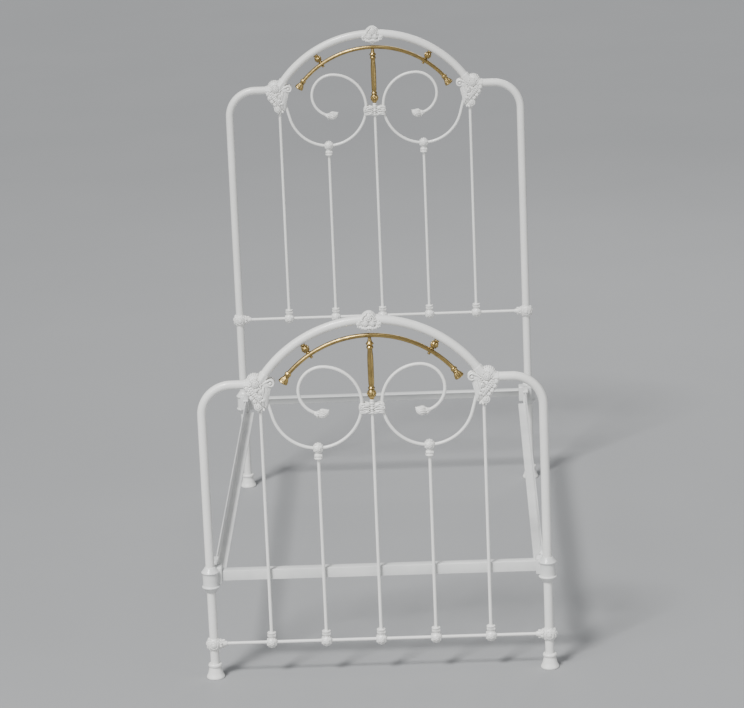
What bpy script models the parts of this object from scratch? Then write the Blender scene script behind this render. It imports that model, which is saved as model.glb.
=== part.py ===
"""Single metal bed frame: an arched headboard and footboard with scrollwork, joined by two lift-off side rails.

Metres, +Z up. The headboard stands at +Y, the footboard at -Y, and left is -X, as seen from the foot of the bed.
Each board is modelled in its own axes, with +Y towards the inside of the bed, and then placed by an empty.
"""

import math

import bmesh
import bpy
from mathutils import Matrix, Vector

# Driving dimensions
POST_SPACING = 1.050  # between the two posts of a board, centre to centre
BOARD_SPACING = 1.970  # between the head and foot post centres
HEAD_SHOULDER_Z = 1.479
FOOT_SHOULDER_Z = 0.940
HEAD_BAR_Z = 0.640
FOOT_BAR_Z = 0.112
TUBE_R = 0.014
ROD_R = 0.0052
BRASS_TUBE_R = 0.0068
SPINDLE_STEP = 0.1716  # from one upright rod to the next
GAP = 0.0003  # left between pieces that touch

# The arch and the bent top of the posts, heights counted from the shoulder centre
SHOULDER_X = 0.3526
SHOULDER_TUBE_Z = 0.0126
BEND_R = 0.095
POST_TOP_X = 0.389
ARCH_R = 0.4074
ARCH_CENTRE_Z = -0.2011
ARCH_HALF_ANGLE = math.radians(55.6)

# The brass rail under the arch
BRASS_R = 0.338
BRASS_CENTRE_Z = -0.1815
BRASS_HALF_ANGLE = math.radians(48.0)
CAP_LEAN = math.radians(34.0)
KNOB_ANGLE = math.radians(33.2)

# The scroll: three arcs that meet smoothly, ending in a leaf
SCROLL_LOW_R = 0.1405
SCROLL_MID_R = 0.1185
SCROLL_END_R = 0.0755
SCROLL_CENTRE_Z = -0.058
SCROLL_END_ANGLE = math.radians(-73.0)
SCROLL_START = (0.3235, -0.0350)
CLASP_Z = -0.0731
CLASP_SIZE = (0.084, 0.026, 0.036)
KNUCKLE_R = 0.0165

# Corner castings, the rail lugs that drop into them, and the angle irons
CORNER_Z = 0.326
BLOCK_REACH = 0.046  # from the post centre to the face that the side rail meets
BLOCK_INSET = 0.012  # the block's centre lies this far inside the post
BLOCK_WIDTH = 0.048
BLOCK_LOW_Z = 0.306
BLOCK_TOP_Z = 0.362
SEAT_Z = 0.3325  # centre of the lug
LUG_NECK_R = 0.0065
LUG_HEAD_R = 0.0130
LUG_LENGTH = 0.0140
LUG_CLEARANCE = 0.0006
CROSS_ANGLE = 0.032
CROSS_ANGLE_THICKNESS = 0.0035
CROSS_ANGLE_TOP_Z = 0.348
CROSS_ANGLE_Y = 0.010
SIDE_LEG = 0.048
SIDE_FLANGE = 0.030
SIDE_THICKNESS = 0.004
RAIL_END_THICKNESS = 0.018
RAIL_END_LENGTH = 0.044
RAIL_END_HEIGHT = 0.064
RAIL_END_LAP = 0.022  # how far the side rail runs into its end casting

# Foot cups
CUP_HEIGHT = 0.048
CUP_FLOOR = 0.012

HALF_POST = POST_SPACING / 2
HALF_LENGTH = BOARD_SPACING / 2
RAIL_X = HALF_POST - BLOCK_INSET
RAIL_FACE_Y = HALF_LENGTH - BLOCK_REACH - 2 * GAP
SIDE_LOW_Z = SEAT_Z - RAIL_END_HEIGHT / 2 + 0.0075

# Facets round a tube, a rod and a turned piece
TUBE_SIDES = 12
ROD_SIDES = 8
TURNED_SIDES = 12
SMALL_SIDES = 10
TURN_OFF = Matrix.Rotation(math.radians(7), 4, "Z")  # keeps a primitive's edges off those of what it joins


# Collections and materials

def start_scene():
    for old in list(bpy.data.objects):
        bpy.data.objects.remove(old, do_unlink=True)


def new_collection(name):
    collection = bpy.data.collections.new(name)
    bpy.context.scene.collection.children.link(collection)
    return collection


def new_material(name, colour, roughness, metallic):
    material = bpy.data.materials.new(name)
    material.use_nodes = True
    shader = material.node_tree.nodes["Principled BSDF"]
    shader.inputs["Base Color"].default_value = (*colour, 1.0)
    shader.inputs["Roughness"].default_value = roughness
    shader.inputs["Metallic"].default_value = metallic
    return material


start_scene()
PARTS = new_collection("metal_bed_frame")
CUTTERS = new_collection("cutters")
WHITE = new_material("white_paint", (0.80, 0.80, 0.78), 0.38, 0.0)
BRASS = new_material("antique_brass", (0.56, 0.40, 0.16), 0.34, 1.0)


# Basic shapes

def link(obj, collection, parent):
    collection.objects.link(obj)
    obj.parent = parent
    return obj


def finish(obj, material):
    obj.data.materials.clear()
    obj.data.materials.append(material)
    obj.data.shade_smooth()
    obj.data.set_sharp_from_angle(angle=math.radians(35))
    return obj


def helper(obj):
    """Marks an object that only shapes others."""
    obj.hide_render = True
    obj.display_type = "WIRE"
    return obj


def box(name, low, high, collection, parent):
    bpy.ops.mesh.primitive_cube_add(size=1)
    obj = bpy.context.active_object
    obj.name = name
    low, high = Vector(low), Vector(high)
    obj.data.transform(Matrix.LocRotScale((low + high) / 2, None, high - low))
    obj.users_collection[0].objects.unlink(obj)
    return link(obj, collection, parent)


def ball(name, centre, radii, collection, parent, segments=TURNED_SIDES, rings=6):
    bpy.ops.mesh.primitive_uv_sphere_add(segments=segments, ring_count=rings, radius=1)
    obj = bpy.context.active_object
    obj.name = name
    obj.data.transform(Matrix.LocRotScale(Vector(centre), None, Vector(radii)) @ TURN_OFF)
    obj.users_collection[0].objects.unlink(obj)
    return link(obj, collection, parent)


def cylinder(name, start, end, radius, sides, collection, parent):
    start, end = Vector(start), Vector(end)
    bpy.ops.mesh.primitive_cylinder_add(vertices=sides, radius=radius, depth=(end - start).length)
    obj = bpy.context.active_object
    obj.name = name
    turn = (end - start).to_track_quat("Z", "Y")
    obj.data.transform(Matrix.LocRotScale((start + end) / 2, turn, None) @ TURN_OFF)
    obj.users_collection[0].objects.unlink(obj)
    return link(obj, collection, parent)


def turned(name, profile, place, sides, collection, parent):
    """A lathe shape: (radius, height) pairs running down the outside, turned about the Z axis of place."""
    mesh = bpy.data.meshes.new(name)
    edges = [(i, i + 1) for i in range(len(profile) - 1)]
    mesh.from_pydata([(r, 0.0, z) for r, z in profile], edges, [])
    obj = bpy.data.objects.new(name, mesh)
    screw = obj.modifiers.new("Turn", "SCREW")
    screw.axis = "Z"
    screw.angle = math.tau
    screw.steps = sides
    screw.render_steps = sides
    screw.use_merge_vertices = True
    screw.merge_threshold = 0.00001
    link(obj, collection, parent)
    obj.matrix_local = place @ TURN_OFF if collection == CUTTERS else place
    return obj


def sweep(name, points, radius, sides, collection, parent):
    """A round bar through the points, as a closed mesh."""
    curve = bpy.data.curves.new(name + "_path", "CURVE")
    curve.dimensions = "3D"
    curve.bevel_depth = radius
    curve.bevel_resolution = sides // 2 - 2
    curve.use_fill_caps = True
    spline = curve.splines.new("POLY")
    spline.points.add(len(points) - 1)
    for point, place in zip(spline.points, points):
        point.co = (*place, 1.0)
    path = bpy.data.objects.new(name + "_path", curve)
    bpy.context.scene.collection.objects.link(path)
    evaluated = path.evaluated_get(bpy.context.evaluated_depsgraph_get())
    mesh = bpy.data.meshes.new_from_object(evaluated)
    mesh.name = name
    weld(mesh)
    bpy.data.objects.remove(path, do_unlink=True)
    return link(bpy.data.objects.new(name, mesh), collection, parent)


def weld(mesh):
    work = bmesh.new()
    work.from_mesh(mesh)
    bmesh.ops.remove_doubles(work, verts=work.verts, dist=0.00001)
    bmesh.ops.recalc_face_normals(work, faces=work.faces)
    work.to_mesh(mesh)
    work.free()


def combine(obj, others, operation):
    for other in others:
        modifier = obj.modifiers.new(operation.title(), "BOOLEAN")
        modifier.operation = operation
        modifier.solver = "EXACT"
        modifier.object = helper(other)
    return obj


def bevel(obj, width, segments=2):
    modifier = obj.modifiers.new("Edges", "BEVEL")
    modifier.width = width
    modifier.segments = segments
    modifier.limit_method = "ANGLE"
    modifier.angle_limit = math.radians(40)
    return obj


def arc(centre, radius, start, end, steps):
    """Points in the XZ plane; angles run from +X towards +Z."""
    turns = [start + (end - start) * i / steps for i in range(steps + 1)]
    return [(centre[0] + radius * math.cos(t), 0.0, centre[1] + radius * math.sin(t)) for t in turns]


# Paths of the bent tubes and rods, in a board's own axes, on its right-hand side

def post_path(shoulder_z):
    top_z = shoulder_z + SHOULDER_TUBE_Z
    centre = (HALF_POST - BEND_R, top_z - BEND_R)
    bend = arc(centre, BEND_R, 0.0, math.pi / 2, 6)
    return [(HALF_POST, 0.0, CUP_FLOOR + GAP), *bend, (POST_TOP_X, 0.0, top_z)]


def arch_path(shoulder_z):
    centre = (0.0, shoulder_z + ARCH_CENTRE_Z)
    return arc(centre, ARCH_R, math.pi / 2 + ARCH_HALF_ANGLE, math.pi / 2 - ARCH_HALF_ANGLE, 16)


def brass_path(shoulder_z):
    centre = (0.0, shoulder_z + BRASS_CENTRE_Z)
    half = BRASS_HALF_ANGLE
    return arc(centre, BRASS_R, math.pi / 2 + half, math.pi / 2 - half, 12)


def scroll_path(shoulder_z):
    """From the shoulder casting down round the knuckle, up past the clasp and in to the leaf."""
    low = Vector((SPINDLE_STEP, shoulder_z + SCROLL_CENTRE_Z))
    mid = low - Vector((SCROLL_LOW_R - SCROLL_MID_R, 0.0))
    end = mid + Vector((0.0, SCROLL_MID_R - SCROLL_END_R))
    start = Vector((SCROLL_START[0], shoulder_z + SCROLL_START[1]))
    away = start - low
    touch = math.atan2(away.y, away.x) - math.acos(SCROLL_LOW_R / away.length)
    first = arc(low, SCROLL_LOW_R, touch, -math.pi, 11)
    second = arc(mid, SCROLL_MID_R, math.pi, math.pi / 2, 5)
    third = arc(end, SCROLL_END_R, math.pi / 2, SCROLL_END_ANGLE, 8)
    return [(start.x, 0.0, start.y), *first, *second[1:], *third[1:]]


def mirrored(points, side):
    return [(side * x, y, z) for x, y, z in points]


def at(x, y, z):
    return Matrix.Translation((x, y, z))


def tilted(x, z, lean):
    """A place on the board whose axis is turned in the board's plane, from up towards +X."""
    return at(x, 0.0, z) @ Matrix.Rotation(lean, 4, "Y")


# Sockets: what a tube or rod cuts out of the casting that holds it

def bore_radius(radius, sides):
    """A faceted bore whose flats clear a round bar by the gap."""
    return (radius + GAP) / math.cos(math.pi / sides)


def tube_cutter(name, points, board):
    return helper(sweep(name, points, bore_radius(TUBE_R, TUBE_SIDES), TUBE_SIDES, CUTTERS, board))


def rod_path_cutter(name, points, board):
    return helper(sweep(name, points, bore_radius(ROD_R, ROD_SIDES), ROD_SIDES, CUTTERS, board))


def rod_cutter(name, start, end, board):
    return helper(cylinder(name, start, end, bore_radius(ROD_R, ROD_SIDES), ROD_SIDES, CUTTERS, board))


# The pieces of one board. shoulder is the shoulder height, bar the height of the cross rod.

def make_tubes(board, prefix, shoulder, sides):
    for side, word in sides:
        post = sweep(f"{prefix}_post_{word}", mirrored(post_path(shoulder), side), TUBE_R, TUBE_SIDES, PARTS, board)
        finish(post, WHITE)
    arch = sweep(f"{prefix}_arch_tube", arch_path(shoulder), TUBE_R, TUBE_SIDES, PARTS, board)
    finish(arch, WHITE)


def make_crown(board, prefix, shoulder):
    """A flower-shaped casting round the top of the arch, with a drop that meets the brass rail."""
    top = shoulder + ARCH_CENTRE_Z + ARCH_R
    name = f"{prefix}_crown_casting"
    crown = ball(name, (0, 0, top + 0.001), (0.029, 0.0215, 0.029), PARTS, board)
    wings = ball(name + "_wings", (0, 0, top - 0.010), (0.042, 0.0195, 0.017), CUTTERS, board)
    drop = turned(
        name + "_drop",
        [(0.0, 0.0), (0.0105, -0.001), (0.0105, -0.010), (0.0062, -0.0205), (0.0, -0.0205)],
        at(0, 0, top - 0.020),
        SMALL_SIDES,
        CUTTERS,
        board,
    )
    combine(crown, [wings, drop], "UNION")
    bore = tube_cutter(name + "_bore", arch_path(shoulder)[5:12], board)
    finish(combine(crown, [bore], "DIFFERENCE"), WHITE)


def make_shoulder(board, prefix, shoulder, side, word):
    """The leaf casting where arch, post, scroll and outer spindle meet."""
    name = f"{prefix}_shoulder_casting_{word}"
    x, z = SHOULDER_X, shoulder

    def lobe(tag, dx, dz, radii):
        centre = (side * (x + dx), 0, z + dz)
        return ball(f"{name}_{tag}", centre, radii, CUTTERS, board, SMALL_SIDES, 6)

    body = ball(name, (side * (x - 0.004), 0, z - 0.002), (0.042, 0.0215, 0.040), PARTS, board)
    crest = lobe("crest", 0.006, 0.026, (0.023, 0.0190, 0.021))
    curl = lobe("curl", -0.043, 0.016, (0.0155, 0.0160, 0.0155))
    taper = lobe("taper", -0.010, -0.040, (0.0235, 0.0180, 0.0370))
    combine(body, [crest, curl, taper], "UNION")
    post = tube_cutter(name + "_post", mirrored(shoulder_tube_end(shoulder), side), board)
    arch = tube_cutter(name + "_arch", mirrored(arch_end(shoulder), side), board)
    scroll = rod_path_cutter(name + "_scroll", mirrored(scroll_end(shoulder), side), board)
    spindle_x = side * 2 * SPINDLE_STEP
    spindle_top = spindle_ends(shoulder, 0.0)[2][1] + GAP
    spindle = rod_cutter(name + "_rod", (spindle_x, 0, spindle_top), (spindle_x, 0, z - 0.12), board)
    finish(combine(body, [post, arch, scroll, spindle], "DIFFERENCE"), WHITE)


def shoulder_tube_end(shoulder):
    z = shoulder + SHOULDER_TUBE_Z
    return [(POST_TOP_X - GAP, 0.0, z), (POST_TOP_X + 0.06, 0.0, z)]


def arch_end(shoulder):
    """The last stretch of the arch on the right, run on by one gap past its end."""
    points = arch_path(shoulder)[-4:]
    last, before = Vector(points[-1]), Vector(points[-2])
    return [*points[:-1], tuple(last + (last - before).normalized() * GAP)]


def scroll_end(shoulder):
    """The first stretch of the scroll, run back by one gap past its start."""
    points = scroll_path(shoulder)[:3]
    first, second = Vector(points[0]), Vector(points[1])
    return [tuple(first + (first - second).normalized() * GAP), *points[1:]]


def make_brass(board, prefix, shoulder, sides):
    rail = sweep(f"{prefix}_brass_rail", brass_path(shoulder), BRASS_TUBE_R, ROD_SIDES + 2, PARTS, board)
    screw_holes = [knob_hole(board, prefix, shoulder, side, word) for side, word in sides]
    finish(combine(rail, screw_holes, "DIFFERENCE"), BRASS)
    for side, word in sides:
        make_brass_cap(board, prefix, shoulder, side, word)
        make_knob(board, prefix, shoulder, side, word)
    make_brass_spindle(board, prefix, shoulder)


def make_brass_cap(board, prefix, shoulder, side, word):
    """A turned bell that closes the end of the brass rail."""
    end = brass_path(shoulder)[-1]
    profile = [(0.0, -0.0015), (0.0080, -0.0015), (0.0100, -0.0045), (0.0090, -0.0090), (0.0125, -0.0150)]
    profile += [(0.0150, -0.0250), (0.0150, -0.0300), (0.0115, -0.0325), (0.0, -0.0325)]
    start = Vector((side * end[0], 0.0, end[2]))
    along = Vector((side * math.sin(CAP_LEAN), 0.0, -math.cos(CAP_LEAN)))
    place = start + along * 0.0045
    cap = turned(
        f"{prefix}_brass_rail_cap_{word}",
        profile,
        tilted(place.x, place.z, -side * CAP_LEAN),
        SMALL_SIDES,
        PARTS,
        board,
    )
    finish(cap, BRASS)


def knob_line(shoulder, side):
    """The knob's place on the brass rail and the direction out to the arch."""
    lean = KNOB_ANGLE * side
    out = Vector((math.sin(lean), 0.0, math.cos(lean)))
    return Vector((0.0, 0.0, shoulder + BRASS_CENTRE_Z)) + out * BRASS_R, lean


def knob_hole(board, prefix, shoulder, side, word):
    place, lean = knob_line(shoulder, side)
    profile = [(0.0, 0.012), (0.0024, 0.012), (0.0024, -0.012), (0.0, -0.012)]
    name = f"{prefix}_knob_hole_{word}"
    return helper(turned(name, profile, tilted(place.x, place.z, lean), ROD_SIDES, CUTTERS, board))


def make_knob(board, prefix, shoulder, side, word):
    """A brass ball between the brass rail and the arch, with its screw and the nut under the rail."""
    place, lean = knob_line(shoulder, side)
    rail = BRASS_TUBE_R + GAP
    reach = knob_reach(place - Vector((0.0, 0.0, shoulder)), lean)
    middle = (rail + reach) / 2
    profile = [(0.0, reach), (0.0070, reach), (0.0080, reach - 0.004), (0.0065, reach - 0.006)]
    profile += [(0.0110, middle + 0.004), (0.0120, middle), (0.0110, middle - 0.004)]
    profile += [(0.0060, rail + 0.005), (0.0075, rail + 0.003), (0.0065, rail + 0.0008)]
    profile += [(0.0021, rail + 0.0008), (0.0021, -rail - 0.0008), (0.0045, -rail - 0.0008)]
    profile += [(0.0045, -rail - 0.0050), (0.0, -rail - 0.0060)]
    knob = turned(
        f"{prefix}_brass_knob_{word}", profile, tilted(place.x, place.z, lean), SMALL_SIDES, PARTS, board
    )
    finish(knob, BRASS)


def knob_reach(place, lean):
    """How far from the brass rail's centre, along the knob, the inside of the arch lies."""
    out = Vector((math.sin(lean), math.cos(lean)))
    start = Vector((place.x, place.z - ARCH_CENTRE_Z))
    inner = ARCH_R - TUBE_R - 0.0012
    along = start.dot(out)
    return -along + math.sqrt(along * along - start.length_squared + inner * inner)


def make_brass_spindle(board, prefix, shoulder):
    """The turned brass upright between the brass rail and the clasp."""
    top = BRASS_CENTRE_Z + BRASS_R - BRASS_TUBE_R - GAP - 0.0004
    low = CLASP_Z + CLASP_SIZE[2] / 2 + 0.009
    length = top - low
    profile = [(0.0, 0.0), (0.0050, 0.0), (0.0070, -0.0100), (0.0122, -0.0180), (0.0122, -0.0210)]
    profile += [(0.0085, -0.0240), (0.0112, -0.0300), (0.0112, -0.0330), (0.0082, -0.0370)]
    profile += [(0.0098, -0.0600), (0.0094, 0.050 - length), (0.0080, 0.040 - length)]
    profile += [(0.0112, 0.036 - length), (0.0090, 0.031 - length), (0.0128, 0.022 - length)]
    profile += [(0.0128, 0.012 - length), (0.0070, 0.002 - length), (0.0065, -length), (0.0, -length)]
    spindle = turned(
        f"{prefix}_brass_spindle", profile, at(0, 0, shoulder + top), SMALL_SIDES, PARTS, board
    )
    finish(spindle, BRASS)


def make_scroll(board, prefix, shoulder, side, word):
    """One scroll rod with the leaf cast on its tip and the knuckle cast on its lowest point."""
    path = mirrored(scroll_path(shoulder), side)
    name = f"{prefix}_scroll_{word}"
    scroll = sweep(name, path, ROD_R, ROD_SIDES, PARTS, board)
    tip, before = Vector(path[-1]), Vector(path[-2])
    leaf = leaf_on_tip(name + "_leaf", tip, tip - before, board)
    low_z = shoulder + SCROLL_CENTRE_Z - SCROLL_LOW_R
    x = side * SPINDLE_STEP
    knuckle = ball(name + "_knuckle", (x, 0, low_z), [KNUCKLE_R] * 3, CUTTERS, board, SMALL_SIDES)
    cup = turned(
        name + "_cup",
        [(0.0, 0.0), (0.0105, 0.0), (0.0105, -0.0140), (0.0135, -0.0240), (0.0135, -0.0280), (0.0, -0.0280)],
        at(x, 0, low_z - 0.009),
        ROD_SIDES,
        CUTTERS,
        board,
    )
    combine(scroll, [leaf, knuckle, cup], "UNION")
    socket = rod_cutter(name + "_socket", (x, 0, low_z - 0.0270), (x, 0, low_z - 0.06), board)
    finish(combine(scroll, [socket], "DIFFERENCE"), WHITE)


def leaf_on_tip(name, tip, along, board):
    """A bud that swells from the rod's end and closes to a blunt tip."""
    profile = [(0.0, 0.042), (0.0110, 0.037), (0.0145, 0.024), (0.0120, 0.010)]
    profile += [(0.0090, 0.003), (0.0095, -0.002), (0.0, -0.002)]
    turn = along.to_track_quat("Z", "Y").to_matrix().to_4x4()
    return turned(name, profile, at(*tip) @ turn, ROD_SIDES, CUTTERS, board)


def make_clasp(board, prefix, shoulder):
    """The small casting that ties both scrolls to the middle spindle, with a stub for the brass one."""
    name = f"{prefix}_centre_clasp"
    z = shoulder + CLASP_Z
    half = [s / 2 for s in CLASP_SIZE]
    clasp = box(name, (-half[0], -half[1], z - half[2]), (half[0], half[1], z + half[2]), PARTS, board)
    bevel(clasp, 0.009, 1)
    stub = turned(
        name + "_stub",
        [(0.0, 0.0), (0.0062, 0.0), (0.0075, -0.0090), (0.0075, -0.0140), (0.0, -0.0140)],
        at(0, 0, z + half[2] + 0.009 - GAP),
        SMALL_SIDES,
        CUTTERS,
        board,
    )
    combine(clasp, [stub], "UNION")
    rods = []
    for side, word in ((-1, "a"), (1, "b")):
        path = mirrored(scroll_path(shoulder)[10:15], side)
        rods.append(rod_path_cutter(f"{name}_rod_{word}", path, board))
    top = spindle_ends(shoulder, 0.0)[0][1] + GAP
    rods.append(rod_cutter(name + "_socket", (0, 0, top), (0, 0, z - 0.05), board))
    finish(combine(clasp, rods, "DIFFERENCE"), WHITE)


def spindle_ends(shoulder, bar):
    """Low and high ends of the middle, inner and outer uprights."""
    low = bar + 0.0125
    middle_top = shoulder + CLASP_Z - CLASP_SIZE[2] / 2 + 0.010
    inner_top = shoulder + SCROLL_CENTRE_Z - SCROLL_LOW_R - 0.0270 - GAP
    outer_top = shoulder - 0.060
    return [(low, middle_top), (low, inner_top), (low, outer_top)]


def make_spindles(board, prefix, shoulder, bar, turned_round):
    for number in range(5):
        place = number - 2
        low, high = spindle_ends(shoulder, bar)[abs(place)]
        x = place * SPINDLE_STEP * turned_round
        rod = cylinder(
            f"{prefix}_spindle_{number + 1}", (x, 0, low), (x, 0, high), ROD_R, ROD_SIDES, PARTS, board
        )
        finish(rod, WHITE)


def make_crossbar(board, prefix, bar):
    """The cross rod with a knuckle cast round the foot of each upright and a casting round each post."""
    name = f"{prefix}_crossbar"
    reach = HALF_POST - 0.022
    rod = cylinder(name, (-reach, 0, bar), (reach, 0, bar), ROD_R, ROD_SIDES, PARTS, board)
    cast, holes = [], []
    for number in range(5):
        x = (number - 2) * SPINDLE_STEP
        tag = f"{name}_{number + 1}"
        cast.append(ball(tag + "_ball", (x, 0, bar), (0.0180, 0.0175, 0.0180), CUTTERS, board, ROD_SIDES))
        cast.append(cup_on_knuckle(tag + "_cup", x, bar, board))
        holes.append(rod_cutter(tag + "_socket", (x, 0, bar + 0.0125 - GAP), (x, 0, bar + 0.07), board))
    for side, word in ((-1, "a"), (1, "b")):
        x = side * HALF_POST
        tag = f"{name}_end_{word}"
        cast.append(ball(tag + "_ball", (x, 0, bar), (0.0255, 0.0240, 0.0250), CUTTERS, board))
        leaf = [(0.0, 0.0), (0.0150, 0.001), (0.0165, -0.012), (0.0120, -0.024), (0.0080, -0.034), (0.0, -0.034)]
        place = tilted(x - side * 0.020, bar, side * math.pi / 2)
        cast.append(turned(tag + "_leaf", leaf, place, ROD_SIDES, CUTTERS, board))
        post = [(x, 0, bar - 0.06), (x, 0, bar + 0.06)]
        holes.append(tube_cutter(tag + "_post", post, board))
    combine(rod, cast, "UNION")
    finish(combine(rod, holes, "DIFFERENCE"), WHITE)


def cup_on_knuckle(name, x, bar, board):
    profile = [(0.0, 0.0330), (0.0135, 0.0330), (0.0135, 0.0290), (0.0105, 0.0210), (0.0110, 0.0070), (0.0, 0.0070)]
    return turned(name, profile, at(x, 0, bar), ROD_SIDES, CUTTERS, board)


def make_corner(board, prefix, side, word):
    """A collar on the post with a block whose open-topped tapered slot takes the side rail's lug."""
    name = f"{prefix}_corner_casting_{word}"
    outline = [(0.0, 0.0400), (0.0170, 0.0400), (0.0280, 0.0250), (0.0280, 0.0220), (0.0245, 0.0190)]
    outline += [(0.0245, -0.0190), (0.0280, -0.0220), (0.0280, -0.0250), (0.0170, -0.0400), (0.0, -0.0400)]
    casting = turned(name, outline, at(side * HALF_POST, 0, CORNER_Z), TURNED_SIDES, PARTS, board)
    x = side * RAIL_X
    half = BLOCK_WIDTH / 2
    block = box(
        name + "_block", (x - half, 0.002, BLOCK_LOW_Z), (x + half, BLOCK_REACH, BLOCK_TOP_Z), CUTTERS, board
    )
    bevel(block, 0.005, 1)
    combine(casting, [block], "UNION")
    post = [(side * HALF_POST, 0, CORNER_Z - 0.06), (side * HALF_POST, 0, CORNER_Z + 0.06)]
    cuts = [tube_cutter(name + "_bore", post, board), *lug_slot(name, x, board)]
    finish(combine(casting, cuts, "DIFFERENCE"), WHITE)


def lug_outline(grow):
    """(radius, distance behind the rail casting's face) of the tapered lug, larger all round by grow."""
    neck, head, length = LUG_NECK_R + grow, LUG_HEAD_R + grow, LUG_LENGTH
    return [(neck, -0.002), (neck, 0.0040), (head, length - 0.0030), (head, length + grow)]


def lug_slot(name, x, board):
    """A rounded seat for the lug and a slot of the same section that runs up from it to the top."""
    outline = lug_outline(LUG_CLEARANCE)
    face = BLOCK_REACH + 2 * GAP
    profile = [(0.0, outline[0][1]), *outline, (0.0, outline[-1][1])]
    towards_post = Matrix.Rotation(math.pi / 2, 4, "X")
    seat = turned(
        name + "_seat", profile, at(x, face, SEAT_Z) @ towards_post, TURNED_SIDES, CUTTERS, board
    )
    return [fix_winding(seat), slot_prism(name + "_slot", x, face, outline, board)]


def fix_winding(obj):
    """A profile listed from the bottom up turns inside out, so its faces are flipped back."""
    obj.modifiers["Turn"].use_normal_flip = True
    return obj


def slot_prism(name, x, face, outline, board):
    """The lug's outline as a flat shape, extruded from the lug's centre line up past the block's top."""
    top = BLOCK_TOP_Z + 0.02
    corners = [(x + r, face - d) for r, d in outline] + [(x - r, face - d) for r, d in reversed(outline)]
    curve = bpy.data.curves.new(name, "CURVE")
    curve.dimensions = "2D"
    curve.fill_mode = "BOTH"
    curve.extrude = (top - SEAT_Z) / 2
    spline = curve.splines.new("POLY")
    spline.points.add(len(corners) - 1)
    spline.use_cyclic_u = True
    for point, place in zip(spline.points, corners):
        point.co = (*place, 0.0, 1.0)
    flat = bpy.data.objects.new(name + "_outline", curve)
    bpy.context.scene.collection.objects.link(flat)
    mesh = bpy.data.meshes.new_from_object(flat.evaluated_get(bpy.context.evaluated_depsgraph_get()))
    mesh.transform(at(0, 0, (top + SEAT_Z) / 2))
    weld(mesh)
    bpy.data.objects.remove(flat, do_unlink=True)
    return helper(link(bpy.data.objects.new(name, mesh), CUTTERS, board))


def make_cross_angle(board, prefix):
    """The angle iron between the corner castings: a flat top for the bed base, with its leg below."""
    half = RAIL_X - BLOCK_WIDTH / 2 - GAP
    low = CROSS_ANGLE_TOP_Z - CROSS_ANGLE
    back, front = CROSS_ANGLE_Y, CROSS_ANGLE_Y + CROSS_ANGLE
    name = f"{prefix}_cross_angle"
    angle = box(name, (-half, back, low), (half, front, CROSS_ANGLE_TOP_Z), PARTS, board)
    inside = box(
        name + "_inside",
        (-half - 0.01, back + CROSS_ANGLE_THICKNESS, low - 0.01),
        (half + 0.01, front + 0.01, CROSS_ANGLE_TOP_Z - CROSS_ANGLE_THICKNESS),
        CUTTERS,
        board,
    )
    finish(combine(angle, [inside], "DIFFERENCE"), WHITE)


def make_leg_cup(board, prefix, side, word):
    """The flared cup under a post, with a collar at its mouth."""
    bore = bore_radius(TUBE_R, TURNED_SIDES)
    profile = [(0.0, CUP_FLOOR), (bore, CUP_FLOOR), (bore, CUP_HEIGHT), (0.0185, CUP_HEIGHT)]
    profile += [(0.0215, 0.0450), (0.0215, 0.0400), (0.0190, 0.0370), (0.0215, 0.0240)]
    profile += [(0.0285, 0.0060), (0.0285, 0.0), (0.0, 0.0)]
    cup = turned(
        f"{prefix}_leg_cup_{word}", profile, at(side * HALF_POST, 0, 0), TURNED_SIDES, PARTS, board
    )
    finish(cup, WHITE)


def make_board(prefix, y, turn, shoulder, bar):
    """turn is 0 for the footboard and half a turn for the headboard, whose own +X is then world -X."""
    board = bpy.data.objects.new(f"{prefix}_board", None)
    PARTS.objects.link(board)
    board.matrix_world = at(0, y, 0) @ Matrix.Rotation(turn, 4, "Z")
    bpy.context.view_layer.update()
    flip = -1 if turn else 1
    sides = [(-flip, "left"), (flip, "right")]
    make_tubes(board, prefix, shoulder, sides)
    make_crown(board, prefix, shoulder)
    make_brass(board, prefix, shoulder, sides)
    make_clasp(board, prefix, shoulder)
    make_spindles(board, prefix, shoulder, bar, flip)
    make_crossbar(board, prefix, bar)
    make_cross_angle(board, prefix)
    for side, word in sides:
        make_shoulder(board, prefix, shoulder, side, word)
        make_scroll(board, prefix, shoulder, side, word)
        make_corner(board, prefix, side, word)
        make_leg_cup(board, prefix, side, word)


# Side rails, modelled in world axes for one side and mirrored in X for the other

def rail_box(name, side, x_in, x_out, y, z, collection):
    """A box from x_in to x_out, both counted outwards from the middle of the bed."""
    xs = sorted((side * x_in, side * x_out))
    return box(name, (xs[0], y[0], z[0]), (xs[1], y[1], z[1]), collection, None)


def side_section(name, side, y, collection):
    """The side rail's angle section: an upright leg, and a flange at its foot that points inwards."""
    leg_out = RAIL_X + SIDE_THICKNESS / 2
    leg_in = RAIL_X - SIDE_THICKNESS / 2
    flange_in = leg_out - SIDE_FLANGE
    top = SIDE_LOW_Z + SIDE_LEG
    section = rail_box(name, side, flange_in, leg_out, y, (SIDE_LOW_Z, top), collection)
    cut_y = (y[0] - 0.01, y[1] + 0.01)
    cut_z = (SIDE_LOW_Z + SIDE_THICKNESS, top + 0.01)
    inside = rail_box(name + "_inside", side, flange_in - 0.01, leg_in, cut_y, cut_z, CUTTERS)
    return combine(section, [inside], "DIFFERENCE")


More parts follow.
